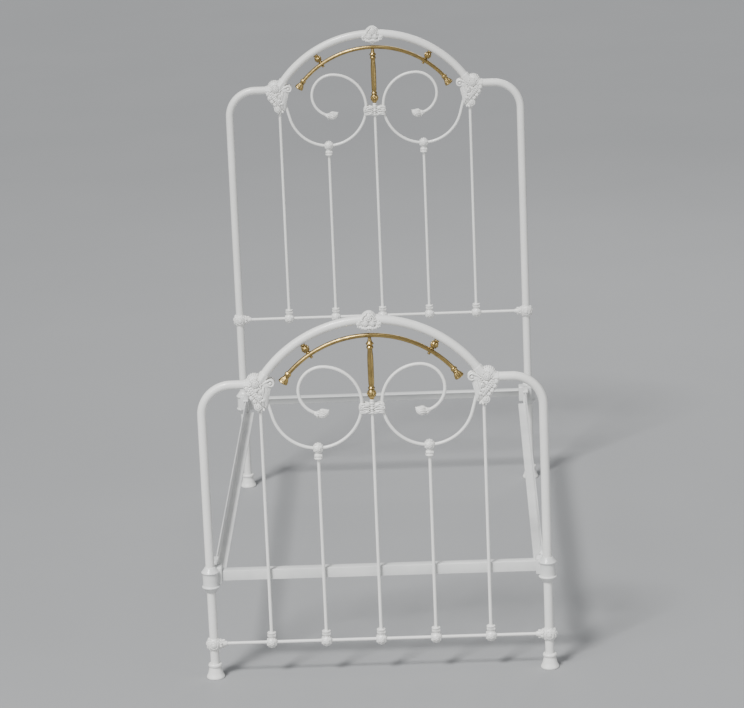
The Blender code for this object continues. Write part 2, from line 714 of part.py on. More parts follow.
def flange_notch(name, side, direction, end):
    """The space that takes the flange away where the rail's leg runs into its end casting."""
    start = RAIL_FACE_Y - RAIL_END_LENGTH - GAP
    leg_in = RAIL_X - SIDE_THICKNESS / 2
    flange_in = RAIL_X + SIDE_THICKNESS / 2 - SIDE_FLANGE
    ys = sorted((direction * start, direction * (end + 0.01)))
    zs = (SIDE_LOW_Z - 0.01, SIDE_LOW_Z + SIDE_LEG + 0.01)
    return rail_box(name, side, flange_in - 0.01, leg_in, ys, zs, CUTTERS)


def make_side_rail(side, word):
    end = RAIL_FACE_Y - RAIL_END_LENGTH + RAIL_END_LAP
    rail = side_section(f"side_rail_{word}", side, (-end, end), PARTS)
    notches = [flange_notch(f"{rail.name}_notch_{way}", side, way, end) for way in (-1, 1)]
    finish(combine(rail, notches, "DIFFERENCE"), WHITE)
    for direction, board in ((-1, "foot"), (1, "head")):
        make_rail_end(side, word, direction, board, end)


def make_rail_end(side, word, direction, board, end):
    """The casting on a rail's end: a block with a lip over the rail and a tapered lug that stands out of it."""
    name = f"{board}_rail_end_{word}"
    half = RAIL_END_THICKNESS / 2
    low, high = SEAT_Z - RAIL_END_HEIGHT / 2, SEAT_Z + RAIL_END_HEIGHT / 2
    inner = RAIL_FACE_Y - RAIL_END_LENGTH
    ys = sorted((direction * inner, direction * RAIL_FACE_Y))
    casting = rail_box(name, side, RAIL_X - half, RAIL_X + half, ys, (low, high), PARTS)
    bevel(casting, 0.003, 1)
    lip_y = sorted((direction * (inner - 0.018), direction * (inner + 0.010)))
    lip_z = (SIDE_LOW_Z + SIDE_LEG - 0.010, high - 0.0035)
    lip = rail_box(name + "_lip", side, RAIL_X - half + 0.002, RAIL_X + half - 0.002, lip_y, lip_z, CUTTERS)
    outward = Matrix.Rotation(-direction * math.pi / 2, 4, "X")
    outline = lug_outline(0.0)
    profile = [(0.0, outline[0][1]), *outline, (0.0, outline[-1][1])]
    lug = turned(
        name + "_lug",
        profile,
        at(side * RAIL_X, direction * RAIL_FACE_Y, SEAT_Z) @ outward,
        TURNED_SIDES,
        CUTTERS,
        None,
    )
    combine(casting, [lip, fix_winding(lug)], "UNION")
    slot_y = sorted((direction * (inner - 0.05), direction * (end + GAP)))
    slot_x = (RAIL_X - SIDE_THICKNESS / 2 - GAP, RAIL_X + SIDE_THICKNESS / 2 + GAP)
    slot_z = (SIDE_LOW_Z - GAP, SIDE_LOW_Z + SIDE_LEG + GAP)
    slot = rail_box(name + "_slot", side, *slot_x, slot_y, slot_z, CUTTERS)
    finish(combine(casting, [slot], "DIFFERENCE"), WHITE)


make_board("foot", -HALF_LENGTH, 0.0, FOOT_SHOULDER_Z, FOOT_BAR_Z)
make_board("head", HALF_LENGTH, math.pi, HEAD_SHOULDER_Z, HEAD_BAR_Z)
for rail_side, rail_word in ((-1, "left"), (1, "right")):
    make_side_rail(rail_side, rail_word)
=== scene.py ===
import math

import bpy
from mathutils import Matrix, Vector


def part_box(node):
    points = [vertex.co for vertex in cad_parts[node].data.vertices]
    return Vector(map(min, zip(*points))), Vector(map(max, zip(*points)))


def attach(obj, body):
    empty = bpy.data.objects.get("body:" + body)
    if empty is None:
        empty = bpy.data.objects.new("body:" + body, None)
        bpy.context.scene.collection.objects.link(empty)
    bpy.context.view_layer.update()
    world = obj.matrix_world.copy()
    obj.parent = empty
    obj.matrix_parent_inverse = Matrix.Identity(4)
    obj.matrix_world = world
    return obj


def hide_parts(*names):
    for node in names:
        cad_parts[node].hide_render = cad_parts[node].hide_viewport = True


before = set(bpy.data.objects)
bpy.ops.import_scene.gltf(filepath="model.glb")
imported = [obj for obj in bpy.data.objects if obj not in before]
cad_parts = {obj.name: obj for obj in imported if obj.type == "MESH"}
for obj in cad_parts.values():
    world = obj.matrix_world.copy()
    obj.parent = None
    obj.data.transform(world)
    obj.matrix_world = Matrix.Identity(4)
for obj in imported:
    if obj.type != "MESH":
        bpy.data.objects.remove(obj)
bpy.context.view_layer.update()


# Posts and arches: steel tube, cold bent round a former and painted with white enamel. Each post runs from
# its leg cup up and over a quarter bend; the arch springs from one shoulder casting to the other.

MM = 0.001
TUBE_R = 14 * MM
TUBE_OVER_SHOULDER = 12.6 * MM
POST_BEND_R = 95 * MM
POST_REACH_IN = 48 * MM
ARCH_R = 407.4 * MM
ARCH_CENTRE = -201.1 * MM
ARCH_HALF_ANGLE = 56.5
STEEL_SIDES = 36
LEG_FOOT_Z = 13 * MM

leg_low, leg_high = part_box("foot_leg_cup_right")
leg_x = (leg_low[0] + leg_high[0]) / 2
boards = []
for board_name, board_turn in (("foot", 0.0), ("head", math.pi)):
    low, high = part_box(f"{board_name}_post_right")
    boards.append({
        "name": board_name,
        "turn": board_turn,
        "y": (low[1] + high[1]) / 2,
        "shoulder": high[2] - TUBE_R - TUBE_OVER_SHOULDER,
        "words": {1: "right", -1: "left"} if board_turn == 0.0 else {1: "left", -1: "right"},
    })


class Wire:
    """An output of a finish's node tree, on which arithmetic adds Math nodes."""

    def __init__(self, tree, socket=None):
        self.tree = tree
        self.socket = socket

    def node(self, kind, settings, sockets, output=0):
        """Adds a node: its settings first, then each socket by name or number, and gives one output."""
        made = self.tree.nodes.new(kind)
        for key, value in settings.items():
            setattr(made, key, value)
        for key, value in sockets.items():
            if isinstance(value, Wire):
                self.tree.links.new(value.socket, made.inputs[key])
            else:
                made.inputs[key].default_value = value
        return Wire(self.tree, made.outputs[output])

    def reckon(self, operation, first, second):
        return self.node("ShaderNodeMath", {"operation": operation}, {0: first, 1: second})

    def __add__(self, other):
        return self.reckon("ADD", self, other)

    __radd__ = __add__

    def __mul__(self, other):
        return self.reckon("MULTIPLY", self, other)

    __rmul__ = __mul__

    def __sub__(self, other):
        return self.reckon("SUBTRACT", self, other)

    def __rsub__(self, other):
        return self.reckon("SUBTRACT", other, self)

    def band(self, low, high):
        """0 below low, 1 above high, and smooth between."""
        settings = {"interpolation_type": "SMOOTHSTEP"}
        return self.node("ShaderNodeMapRange", settings, {"Value": self, "From Min": low, "From Max": high})

    def tint(self, first, second):
        """The first colour at 0 and the second at 1."""
        return self.node("ShaderNodeMix", {"data_type": "RGBA"}, {0: self, 6: first, 7: second}, 2)

    def noise(self, place, scale, detail):
        return self.node("ShaderNodeTexNoise", {}, {"Vector": place, "Scale": scale, "Detail": detail})


def new_finish(name):
    """A material, its shader and the start of its expressions."""
    paint = bpy.data.materials.new(name)
    paint.use_nodes = True
    return paint, paint.node_tree.nodes["Principled BSDF"], Wire(paint.node_tree)


def into(shader, socket, wire):
    wire.tree.links.new(wire.socket, shader.inputs[socket])


def enamel(name, recessed, light, shade):
    """Brushed-on gloss paint: faint clouding, a slight ripple, and on the castings painted shade that greys
    and dulls the hollows.
    """
    paint, shader, start = new_finish(name)
    place = start.node("ShaderNodeTexCoord", {}, {}, "Object")
    cloud = start.noise(place, 7.0, 4.0).band(0.3, 0.7)
    speck = start.noise(place, 420.0, 3.0)
    colour = cloud.tint((*shade, 1.0), (*light, 1.0))
    rough = 0.30 + 0.10 * speck
    if recessed:
        # Painted shade: where the recess attribute marks a hollow, the white is darkened towards dark grey
        # and dulled, in place of the shade that falls there.
        shade_and_patina_map = start.node("ShaderNodeVertexColor", {"layer_name": "recess"}, {}, "Color")
        hollow = 1.0 - start.node("ShaderNodeSeparateColor", {}, {"Color": shade_and_patina_map}, 0).band(0.20, 0.50)
        colour = hollow.tint(colour, (0.235, 0.228, 0.205, 1.0))
        rough = rough + 0.22 * hollow
    ripple = start.noise(place, 95.0, 2.0) * 0.75 + speck * 0.25
    brushing = {"Strength": 0.16, "Distance": 0.0006, "Height": ripple}
    bump = start.node("ShaderNodeBump", {}, brushing, "Normal")
    into(shader, "Base Color", colour)
    into(shader, "Roughness", rough)
    into(shader, "Normal", bump)
    shader.inputs["Coat Weight"].default_value = 0.25
    shader.inputs["Coat Roughness"].default_value = 0.12
    shader.inputs["Specular IOR Level"].default_value = 0.5
    return paint


tube_enamel = enamel("white_tube_enamel", False, (0.84, 0.84, 0.815), (0.79, 0.79, 0.76))


def start_bar(name, radius, centre, facing, sides):
    """A round bar begun as a filled ring in edit mode, which run, bend and swell carry on."""
    bpy.ops.object.select_all(action="DESELECT")
    turn = Vector(facing).to_track_quat("Z", "Y").to_euler()
    bpy.ops.mesh.primitive_circle_add(
        vertices=sides, radius=radius, fill_type="NGON", location=centre, rotation=turn
    )
    bar = bpy.context.active_object
    bar.name = name
    bpy.ops.object.transform_apply(location=True, rotation=True, scale=True)
    bpy.ops.object.mode_set(mode="EDIT")
    bpy.ops.mesh.select_mode(type="FACE")
    bpy.ops.mesh.select_all(action="SELECT")
    return bar


def run(x, y, z):
    bpy.ops.mesh.extrude_region_move(TRANSFORM_OT_translate={"value": (x, y, z)})


def bend(x, z, degrees, steps):
    """Carries the bar on round a centre in the board's plane, anticlockwise as seen from the foot."""
    bpy.ops.mesh.spin(steps=steps, angle=math.radians(degrees), center=(x, 0.0, z), axis=(0.0, 1.0, 0.0))


def finish_bar(bar, sharp=35.0):
    bpy.ops.mesh.select_all(action="SELECT")
    bpy.ops.mesh.normals_make_consistent(inside=False)
    bpy.ops.object.mode_set(mode="OBJECT")
    bpy.ops.object.shade_smooth_by_angle(angle=math.radians(sharp))
    return bar


def copy_of(home, place):
    """A copy with its own mesh, moved to its place; a mirror image has its faces turned outwards again."""
    piece = home.copy()
    piece.data = home.data.copy()
    bpy.context.collection.objects.link(piece)
    piece.data.transform(place)
    if place.determinant() < 0:
        piece.data.flip_normals()
    return piece


def settle(piece, node, paint, body):
    """Paints the piece and gives it the place and the body of its node."""
    piece.data.materials.clear()
    piece.data.materials.append(paint)
    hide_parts(node)
    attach(piece, body)


def put(home, board, z, piece_name, part, paint, sided=True):
    """Copies the home piece, made for the right, to both sides of one board or to its middle."""
    place = Matrix.Translation((0.0, board["y"], z)) @ Matrix.Rotation(board["turn"], 4, "Z")
    for side in (1, -1) if sided else (1,):
        ending = "_" + board["words"][side] if sided else ""
        piece = copy_of(home, place @ Matrix.Diagonal((side, 1.0, 1.0, 1.0)))
        piece.name = board["name"] + "_" + piece_name + ending
        settle(piece, board["name"] + "_" + part + ending, paint, "bed_ends")


def discard(home):
    bpy.data.objects.remove(home, do_unlink=True)


for board in boards:
    tube_z = board["shoulder"] + TUBE_OVER_SHOULDER
    post = start_bar("post", TUBE_R, (leg_x, 0.0, LEG_FOOT_Z), (0, 0, 1), STEEL_SIDES)
    run(0.0, 0.0, tube_z - POST_BEND_R - LEG_FOOT_Z)
    bend(leg_x - POST_BEND_R, tube_z - POST_BEND_R, 90.0, 18)
    run(-POST_REACH_IN, 0.0, 0.0)
    finish_bar(post)
    put(post, board, 0.0, "bent_post", "post", tube_enamel)
    discard(post)

lean = math.radians(ARCH_HALF_ANGLE)
spring = (ARCH_R * math.sin(lean), 0.0, ARCH_CENTRE + ARCH_R * math.cos(lean))
arch = start_bar("arch", TUBE_R, spring, (-math.cos(lean), 0.0, math.sin(lean)), STEEL_SIDES)
bend(0.0, ARCH_CENTRE, 2 * ARCH_HALF_ANGLE, 56)
finish_bar(arch)
for board in boards:
    put(arch, board, board["shoulder"], "arched_top", "arch_tube", tube_enamel, sided=False)
discard(arch)


# Shoulder castings: iron cast round the joint of post, arch, scroll and outer upright, with a rosette at the
# crest, acanthus lobes down the outer edge, flutes under a rolled scroll, and a volute at the foot.

SHOULDER_X = 352.6 * MM
cast_enamel = enamel("white_cast_enamel", True, (0.84, 0.84, 0.815), (0.79, 0.79, 0.76))
relief = []


def toward(degrees):
    """The cosine and sine of an angle in degrees."""
    return math.cos(math.radians(degrees)), math.sin(math.radians(degrees))


def pick(*parts):
    """Selects these parts alone, with the first one active."""
    bpy.ops.object.select_all(action="DESELECT")
    for part in parts:
        part.select_set(True)
    bpy.context.view_layer.objects.active = parts[0]


def shape_with(part, kind, **settings):
    """Adds a modifier to the active part with its settings, and applies it."""
    change = part.modifiers.new(kind.title(), kind)
    for key, value in settings.items():
        setattr(change, key, value)
    bpy.ops.object.modifier_apply(modifier=change.name)


def closed_mesh():
    """Makes the active curve a closed mesh with its faces outwards."""
    bpy.ops.object.convert(target="MESH")
    bpy.ops.object.mode_set(mode="EDIT")
    bpy.ops.mesh.select_all(action="SELECT")
    bpy.ops.mesh.remove_doubles(threshold=0.000001)
    bpy.ops.mesh.normals_make_consistent(inside=False)
    bpy.ops.object.mode_set(mode="OBJECT")
    return bpy.context.active_object


def blob(a, h, b, size, turn=0.0):
    """A rounded mass: a along the board, h out from it and b up, in millimetres; size is its three radii."""
    bpy.ops.object.select_all(action="DESELECT")
    centre = (a * MM, h * MM, b * MM)
    swing = (0.0, -math.radians(turn), 0.0)
    bpy.ops.mesh.primitive_uv_sphere_add(segments=20, ring_count=12, location=centre, rotation=swing)
    mass = bpy.context.active_object
    mass.scale = [r * MM for r in size]
    bpy.ops.object.transform_apply(location=True, rotation=True, scale=True)
    relief.append(mass)


def petal(a, h, b, length, width, thick, turn, tilt=0.0):
    """A pointed leaf with a groove down its middle, from its root at a, h, b out along the angle turn."""
    bpy.ops.object.select_all(action="DESELECT")
    bpy.ops.mesh.primitive_uv_sphere_add(segments=16, ring_count=10)
    leaf = bpy.context.active_object
    for corner in leaf.data.vertices:
        x, y, z = corner.co
        along = (x + 1.0) / 2.0
        across = z * (1.0 - 0.55 * along) * 1.25
        groove = 0.45 * math.exp(-((z / 0.28) ** 2)) * (1.0 - along * 0.6)
        out = y - math.copysign(groove, y) * abs(y)
        corner.co = (along * length * MM, out * thick * MM, across * width / 2 * MM)
    swing = Matrix.Rotation(-math.radians(turn), 4, "Y") @ Matrix.Rotation(math.radians(tilt), 4, "Z")
    leaf.data.transform(Matrix.Translation((a * MM, h * MM, b * MM)) @ swing)
    relief.append(leaf)


def smooth_line(points, steps):
    """More points on a flowing line through the given ones; a point given twice stays sharp."""
    line = []
    for i in range(len(points) - 1):
        start, end = points[i], points[i + 1]
        before, after = points[max(i - 1, 0)], points[min(i + 2, len(points) - 1)]
        if start == end:
            continue
        for step in range(steps):
            t = step / steps
            weights = (
                -t + 2 * t * t - t**3,
                2 - 5 * t * t + 3 * t**3,
                t + 4 * t * t - 3 * t**3,
                t**3 - t * t,
            )
            groups = zip(before, start, end, after)
            line.append([sum(w * v for w, v in zip(weights, group)) / 2 for group in groups])
    line.append(list(points[-1]))
    return line


def stem(points, thick, steps=4):
    """A round ridge through the points (a, h, b), each with its own radius in millimetres."""
    flow = smooth_line([(*place, radius) for place, radius in zip(points, thick)], steps)
    bpy.ops.object.select_all(action="DESELECT")
    bpy.ops.curve.primitive_nurbs_path_add()
    ridge = bpy.context.active_object
    ridge.data.splines.clear()
    line = ridge.data.splines.new("POLY")
    line.points.add(len(flow) - 1)
    for point, (a, h, b, radius) in zip(line.points, flow):
        point.co = (a * MM, h * MM, b * MM, 1.0)
        point.radius = radius
    ridge.data.dimensions = "3D"
    ridge.data.bevel_depth = MM
    ridge.data.bevel_resolution = 2
    ridge.data.use_fill_caps = True
    relief.append(closed_mesh())


def coil(a, b, rims, thick, heights, start, turns, steps=40, eye=0.0):
    """A scroll that winds from its rim in to its eye, rising as it goes; turns below 0 wind clockwise."""
    points = []
    radii = []
    for i in range(steps + 1):
        t = i / steps
        angle = math.radians(start) + turns * math.tau * t
        reach = rims[0] + (rims[1] - rims[0]) * t ** 0.85
        height = heights[0] + (heights[1] - heights[0]) * t
        points.append((a + reach * math.cos(angle), height, b + reach * math.sin(angle)))
        radii.append(thick[0] + (thick[1] - thick[0]) * t)
    if eye:
        blob(a, heights[1] + 0.2, b, (eye, eye, eye))
    stem(points, radii, 1)


def fuse(name, grain, smooth, shrink=1.0):
    """Welds the relief and its twin on the back into one skin, as a casting under thick paint is."""
    pick(*relief)
    body = relief[0]
    if len(relief) > 1:
        bpy.ops.object.join()
    relief.clear()
    body.name = name
    shape_with(body, "MIRROR", use_axis=(False, True, False), use_mirror_merge=False)
    shape_with(body, "REMESH", mode="VOXEL", voxel_size=grain * MM)
    shape_with(body, "SMOOTH", factor=0.5, iterations=smooth)
    if shrink < 1.0:
        shape_with(body, "DECIMATE", ratio=shrink)
    bpy.ops.object.shade_smooth()
    # The recess attribute marks the hollows: on the white enamel it drives painted shade, on the brass the
    # darker patina.
    bpy.ops.geometry.color_attribute_add(name="recess", domain="CORNER", color=(1.0, 1.0, 1.0, 1.0))
    bpy.ops.paint.vertex_color_dirt(
        blur_strength=0.6,
        blur_iterations=1,
        clean_angle=math.radians(103),
        dirt_angle=math.radians(77),
        normalize=False,
    )
    return body


# The mass of the casting
blob(-3, 0, 16, (33, 18.0, 27))
blob(-14, 0, 0, (25, 16.5, 20))
blob(-12, 0, -15, (22, 15.5, 19))
blob(-4, 0, -28, (19, 15.0, 20))
blob(10, 0, -8, (27, 16.5, 30))
blob(15, 0, -30, (20, 15.0, 32), 8)
blob(4, 0, -42, (17, 14.5, 22), -20)
blob(28, 0, 12, (22, 15.5, 18))
blob(28, 0, -48, (8.5, 9.5, 18), -10)
blob(12, 0, -64, (10, 10.5, 11))
stem([(-18, 0, 12), (-30, 0, 12.6), (-37.5, 0, 12.6), (-40.5, 0, 12.6)], (17.6, 16.6, 15.9, 12.4), 3)
sleeve = [(8, 0, 17), (16.4, 0, 29.1), (23, 0, 38.4), (27.6, 0, 44.6), (29.6, 0, 47.2)]
stem(sleeve, (17, 16.8, 16.3, 15.9, 12.4), 3)
# The crest: a domed cap with two rows of scallops, and the rosette
blob(-5, 0, 26, (22.5, 16.5, 20.5))
for ray in range(8):
    swing = 152 - ray * 17.5
    c, s = toward(swing)
    petal(-5 + 13.0 * c, 10.5, 25 + 11.0 * s, 10.5, 8.0, 5.0, swing, -30)
    blob(-5 + 21.4 * c, 3.0, 26 + 19.4 * s, (3.4, 5.0, 3.4))
blob(-3, 11, 17, (15.5, 9.0, 15.5))
coil(-3, 17, (13.2, 2.0), (2.3, 1.9), (17.0, 20.8), 200, -2.3, 64)
blob(-3, 19.5, 17, (2.6, 2.6, 2.6))
for ray in range(11):
    swing = ray * 360 / 11 + 10
    c, s = toward(swing)
    petal(-3 + 13.8 * c, 15.2, 17 + 13.8 * s, 6.6, 6.2, 3.4, swing, -22)
# Acanthus lobes down the outer edge, and a border of beads above them
lobes = ((-25, 1, 188, 1.0), (-20, -12, 200, 1.0), (-13, -25, 208, 0.95), (-5, -36, 214, 0.85))
for lobe_a, lobe_b, lobe_turn, size in lobes:
    for off, reach, wide in ((-30, 14.5, 9), (-10, 17, 9), (10, 17, 9), (30, 14.5, 9)):
        petal(lobe_a + 4, 11.0, lobe_b + 2, reach * size, wide * size, 5.0, lobe_turn + off, 16)
    petal(lobe_a + 4, 4.5, lobe_b + 2, 18.0 * size, 15 * size, 8, lobe_turn)
for bead in range(10):
    t = bead / 9
    blob(-31 + 36 * t, 12.6 + 4.0 * math.sin(math.pi * (0.15 + 0.7 * t)), 6 - 44 * t, (2.7, 2.7, 2.7))
# The rope of small leaves that runs from the post down to the volute
for step in range(8):
    t = step / 7
    lift = 14.2 + 2.6 * math.sin(math.pi * (0.1 + 0.8 * t))
    petal(-22 + 31 * t, lift, 6 - 42 * t, 9.5, 6.8, 3.8, -72 + 6 * t, -6)
    petal(-19 + 30 * t, lift, 5 - 40 * t, 9.5, 6.2, 3.6, -14 + 6 * t, -4)
# Little scrolls and a ring of beads in the middle
coil(14, -8, (8.4, 1.6), (2.3, 1.8), (17.0, 19.2), 60, -1.5, 40, 2.5)
coil(10, -25, (6.8, 1.4), (2.1, 1.6), (16.4, 18.4), 210, 1.4, 36, 2.2)
coil(19, -36, (5.6, 1.4), (2.0, 1.6), (15.0, 16.8), 80, -1.3, 36, 2.0)
coil(-1, -4, (6.2, 1.4), (2.0, 1.6), (17.0, 18.6), 20, 1.3, 36, 2.1)
blob(12, 0, -12, (15, 18.0, 16))
stem([(24, 16, 6), (23, 16.8, -6), (19, 17.0, -18), (16, 16.4, -28)], (1.6, 2.1, 2.0, 1.4))
stem([(1, 17, -12), (2, 17.4, -20), (5, 16.8, -32), (6, 16.0, -40)], (1.5, 2.1, 2.0, 1.4))
for bead in range(8):
    swing = math.radians(-160 + bead * 22)
    blob(-3 + 19.8 * math.cos(swing), 16.2, 16 + 19.8 * math.sin(swing), (2.2, 2.3, 2.2))
# The rolled scroll over the inner edge, and the flutes that hang from it
blob(43.0, 0, 16, (13.2, 12.8, 13.2))
stem([(18, 12.0, 13), (25, 12.8, 19), (31, 13.3, 22.4), (35.6, 13.4, 24.4)], (2.8, 3.5, 3.8, 3.9))
coil(44, 16.5, (11.6, 8.8), (3.9, 2.8), (13.4, 11.6), 140, -0.86, 40)
blob(43.5, 12.0, 16.5, (5.6, 5.2, 5.6))
for ridge in range(6):
    t = ridge / 5
    top_a = 20 + 22 * t
    stem(
        [
            (top_a, 12.5 - 5.5 * t * t, 8 - 7 * t),
            (19 + 19.5 * t, 14.8 - 7.5 * t * t, -12 - 4 * t),
            (21 + 14.5 * t, 14.2 - 7.0 * t * t, -28 - 2 * t),
            (25 + 8.0 * t, 11.5 - 4.5 * t * t, -44),
            (28.5 + 4 * t, 8.5 - 2.0 * t * t, -56 + 3 * t),
        ],
        (2.7, 2.9, 2.6, 2.0, 1.4),
    )
# The volute at the foot
blob(3.7, 0, -56.5, (14.8, 13.5, 14.8))
coil(3.7, -56.5, (12.4, 2.0), (3.0, 2.3), (12.8, 17.4), 120, 1.9, 52)
blob(3.7, 16.0, -56.5, (3.0, 3.0, 3.0))
for finger in range(3):
    petal(6 + 6 * finger, 8.0, -66 + finger * 1.5, 11, 8, 5, -112 + 26 * finger, 6)
shoulder_home = fuse("shoulder", 0.95, 2)
about_face = Matrix.Translation((SHOULDER_X, 0.0, 0.0)) @ Matrix.Diagonal((-1.0, 1.0, 1.0, 1.0))
shoulder_home.data.transform(about_face)
shoulder_home.data.flip_normals()
for board in boards:
    put(shoulder_home, board, board["shoulder"], "acanthus_shoulder", "shoulder_casting", cast_enamel)
discard(shoulder_home)


# Crown castings: iron cast round the top of the arch as a flower over two scrolls, with a wing along the tube
# on each side and a small drop that meets the brass rail.

CROWN_Z = ARCH_CENTRE + ARCH_R

blob(0, 0, 3, (26, 19.0, 24))
blob(0, 0, 15, (16.5, 15.0, 13.5))
blob(0, 0, -9, (39, 17.5, 16))
blob(0, 0, -20, (26, 15.0, 14))
blob(0, 0, -31, (8.5, 8.0, 8))
for half in (-1, 1):
    blob(half * 33, 0, -10, (9.0, 14.5, 8.5))
    coil(half * 33, -10, (6.8, 1.6), (2.1, 1.7), (13.5, 17.0), 90 + half * 20, half * 1.4, 36)
    blob(half * 33, 16.6, -10, (2.2, 2.2, 2.2))
    coil(half * 11.5, -9, (8.6, 1.8), (2.1, 1.7), (18.0, 20.4), 90 - half * 10, half * 1.8, 44)
    blob(half * 11.5, 20.2, -9, (2.2, 2.0, 2.2))
    for step, (reach, wide, swing) in enumerate(((11, 7, 150), (12, 7, 176), (11, 7, 205), (10, 7, 232))):
        root = (half * (24 - step * 2.0), 12.5, -7 - step * 4.5)
        petal(*root, reach, wide, 4.0, swing if half < 0 else 180 - swing, 4)
    for finger in range(5):
        root = (half * (31 - finger * 5.2), 11.0 + finger * 0.6, -15 - finger * 1.6)
        petal(*root, 9.5, 6.4, 4.4, -90 + half * (34 - finger * 6), 14)
    for bead in range(5):
        blob(half * (6.5 + bead * 4.2), 18.6 - bead * 0.7, -1.5 + 0.4 * bead, (1.9, 2.0, 1.9))
    tendril = [(half * 6, 17, 19), (half * 14, 16.5, 15), (half * 19, 15.5, 7), (half * 21, 14.5, -1)]
    stem(tendril, (1.5, 2.2, 2.2, 1.4))
    stem([(half * 4, 14.5, 24), (half * 11, 14, 20), (half * 17, 13, 14)], (1.3, 2.0, 1.3))
for ray in range(8):
    swing = ray * 45 + 22.5
    c, s = toward(swing)
    petal(2.0 * c, 18.6, 7 + 2.0 * s, 8.0, 6.6, 3.0, swing, 4)
blob(0, 20.6, 7, (2.8, 2.6, 2.8))
for finger in range(-3, 4):
    root = (finger * 3.6, 15.5 - abs(finger) * 0.9, -17 - abs(finger) * 0.2)
    petal(*root, 13, 6.5, 4.4, -90 + finger * 17, 10)
for finger in range(-2, 3):
    petal(finger * 2.4, 9.5 - abs(finger), -27, 10.5 - abs(finger), 5.5, 4.2, -90 + finger * 24, 10)
for finger in range(-2, 3):
    petal(finger * 4.5, 10.0, 18 - abs(finger) * 1.2, 8.5, 6.8, 6.0, 90 - finger * 26, -26)
crown_home = fuse("crown", 0.9, 2)
for board in boards:
    place_z = board["shoulder"] + CROWN_Z
    put(crown_home, board, place_z, "flower_crown", "crown_casting", cast_enamel, sided=False)
discard(crown_home)


# Scrolls: steel rod bent to three arcs that tighten inwards. A leaf bud is cast on the tip, and a knuckle and
# cup are cast round the lowest point, where the inner upright stands.

ROD_R = 5.2 * MM
STEP = 171.6 * MM
LOW_R = 140.5 * MM
MID_R = 118.5 * MM
TIP_R = 75.5 * MM
TIP_ANGLE = -73.0
low_centre = Vector((STEP, -58 * MM))
mid_centre = low_centre - Vector((LOW_R - MID_R, 0.0))
tip_centre = mid_centre + Vector((0.0, MID_R - TIP_R))
scroll_start = Vector((323.5 * MM, -35 * MM))
away = scroll_start - low_centre
touch = math.atan2(away.y, away.x) - math.acos(LOW_R / away.length)
touch_point = low_centre + LOW_R * Vector((math.cos(touch), math.sin(touch)))
first_run = touch_point - scroll_start
back = first_run.normalized() * 10 * MM

rod_from = (scroll_start.x - back.x, 0.0, scroll_start.y - back.y)
scroll_rod = start_bar("scroll rod", ROD_R, rod_from, (first_run.x, 0.0, first_run.y), 20)
run(first_run.x + back.x, 0.0, first_run.y + back.y)
bend(low_centre.x, low_centre.y, -(math.degrees(touch) + 180.0), 40)
bend(mid_centre.x, mid_centre.y, -90.0, 18)
bend(tip_centre.x, tip_centre.y, -(90.0 - TIP_ANGLE), 32)
finish_bar(scroll_rod)


def lathe(name, profile, sides, steps=4):
    """A turned piece in edit mode, from (radius, height) pairs in millimetres, drawn out ring by ring."""
    line = [(r * MM, h * MM) for r, h in smooth_line(profile, steps)]
    piece = start_bar(name, line[0][0], (0.0, 0.0, line[0][1]), (0, 0, 1), sides)
    for (r0, h0), (r1, h1) in zip(line, line[1:]):
        run(0.0, 0.0, h1 - h0)
        bpy.ops.transform.resize(value=(r1 / r0, r1 / r0, 1.0), center_override=(0.0, 0.0, h1))
    return piece


def knuckle(radius, a=0.0, b=0.0):
    """A cast ball with a six-leaved flower on its face and small leaves and beads over the rest of it."""
    blob(a, 0, b, (radius, radius, radius))
    for ray in range(6):
        swing = ray * 60 + 30
        c, s = toward(swing)
        petal(a + 1.6 * c, radius - 0.4, b + 1.6 * s, radius * 0.52, radius * 0.42, 2.6, swing, -18)
        root = (a + 0.62 * radius * c, 0.70 * radius, b + 0.62 * radius * s)
        petal(*root, radius * 0.5, radius * 0.4, 2.6, swing, -46)
    blob(a, radius + 0.2, b, (2.2, 2.0, 2.2))
    for ray in range(12):
        swing = ray * 30 + 15
        c, s = toward(swing)
        petal(a + 0.90 * radius * c, 0.36 * radius, b + 0.90 * radius * s, 7.6, 5.6, 2.6, swing + 98, 0)
        blob(a + 0.80 * radius * c, 0.56 * radius, b + 0.80 * radius * s, (1.9, 1.9, 1.9))


def set_in(part, a=0.0, b=0.0, turn=0.0):
    """Adds a finished piece to the relief, turned about the axis out of the board."""
    swing = Matrix.Rotation(-math.radians(turn), 4, "Y")
    part.data.transform(Matrix.Translation((a * MM, 0.0, b * MM)) @ swing)
    relief.append(part)


knuckle(16.0)
cup_line = [(9.5, -34), (13.4, -34), (13.8, -32), (13.0, -28.5), (11.6, -26.5), (12.4, -24.2)]
cup_line += [(11.2, -21.5), (11.8, -19.2), (10.2, -16), (11.6, -12.5), (11.6, -10), (9.0, -6)]
set_in(finish_bar(lathe("cup", cup_line, 32, 3)))
for ray in range(7):
    petal(-9 + ray * 3.0, 9.3 - abs(ray - 3) * 1.2, -17.5, 11.0, 4.6, 3.4, -90 + (ray - 3) * 5, 12)
knuckle_home = fuse("scroll knuckle", 0.85, 2)

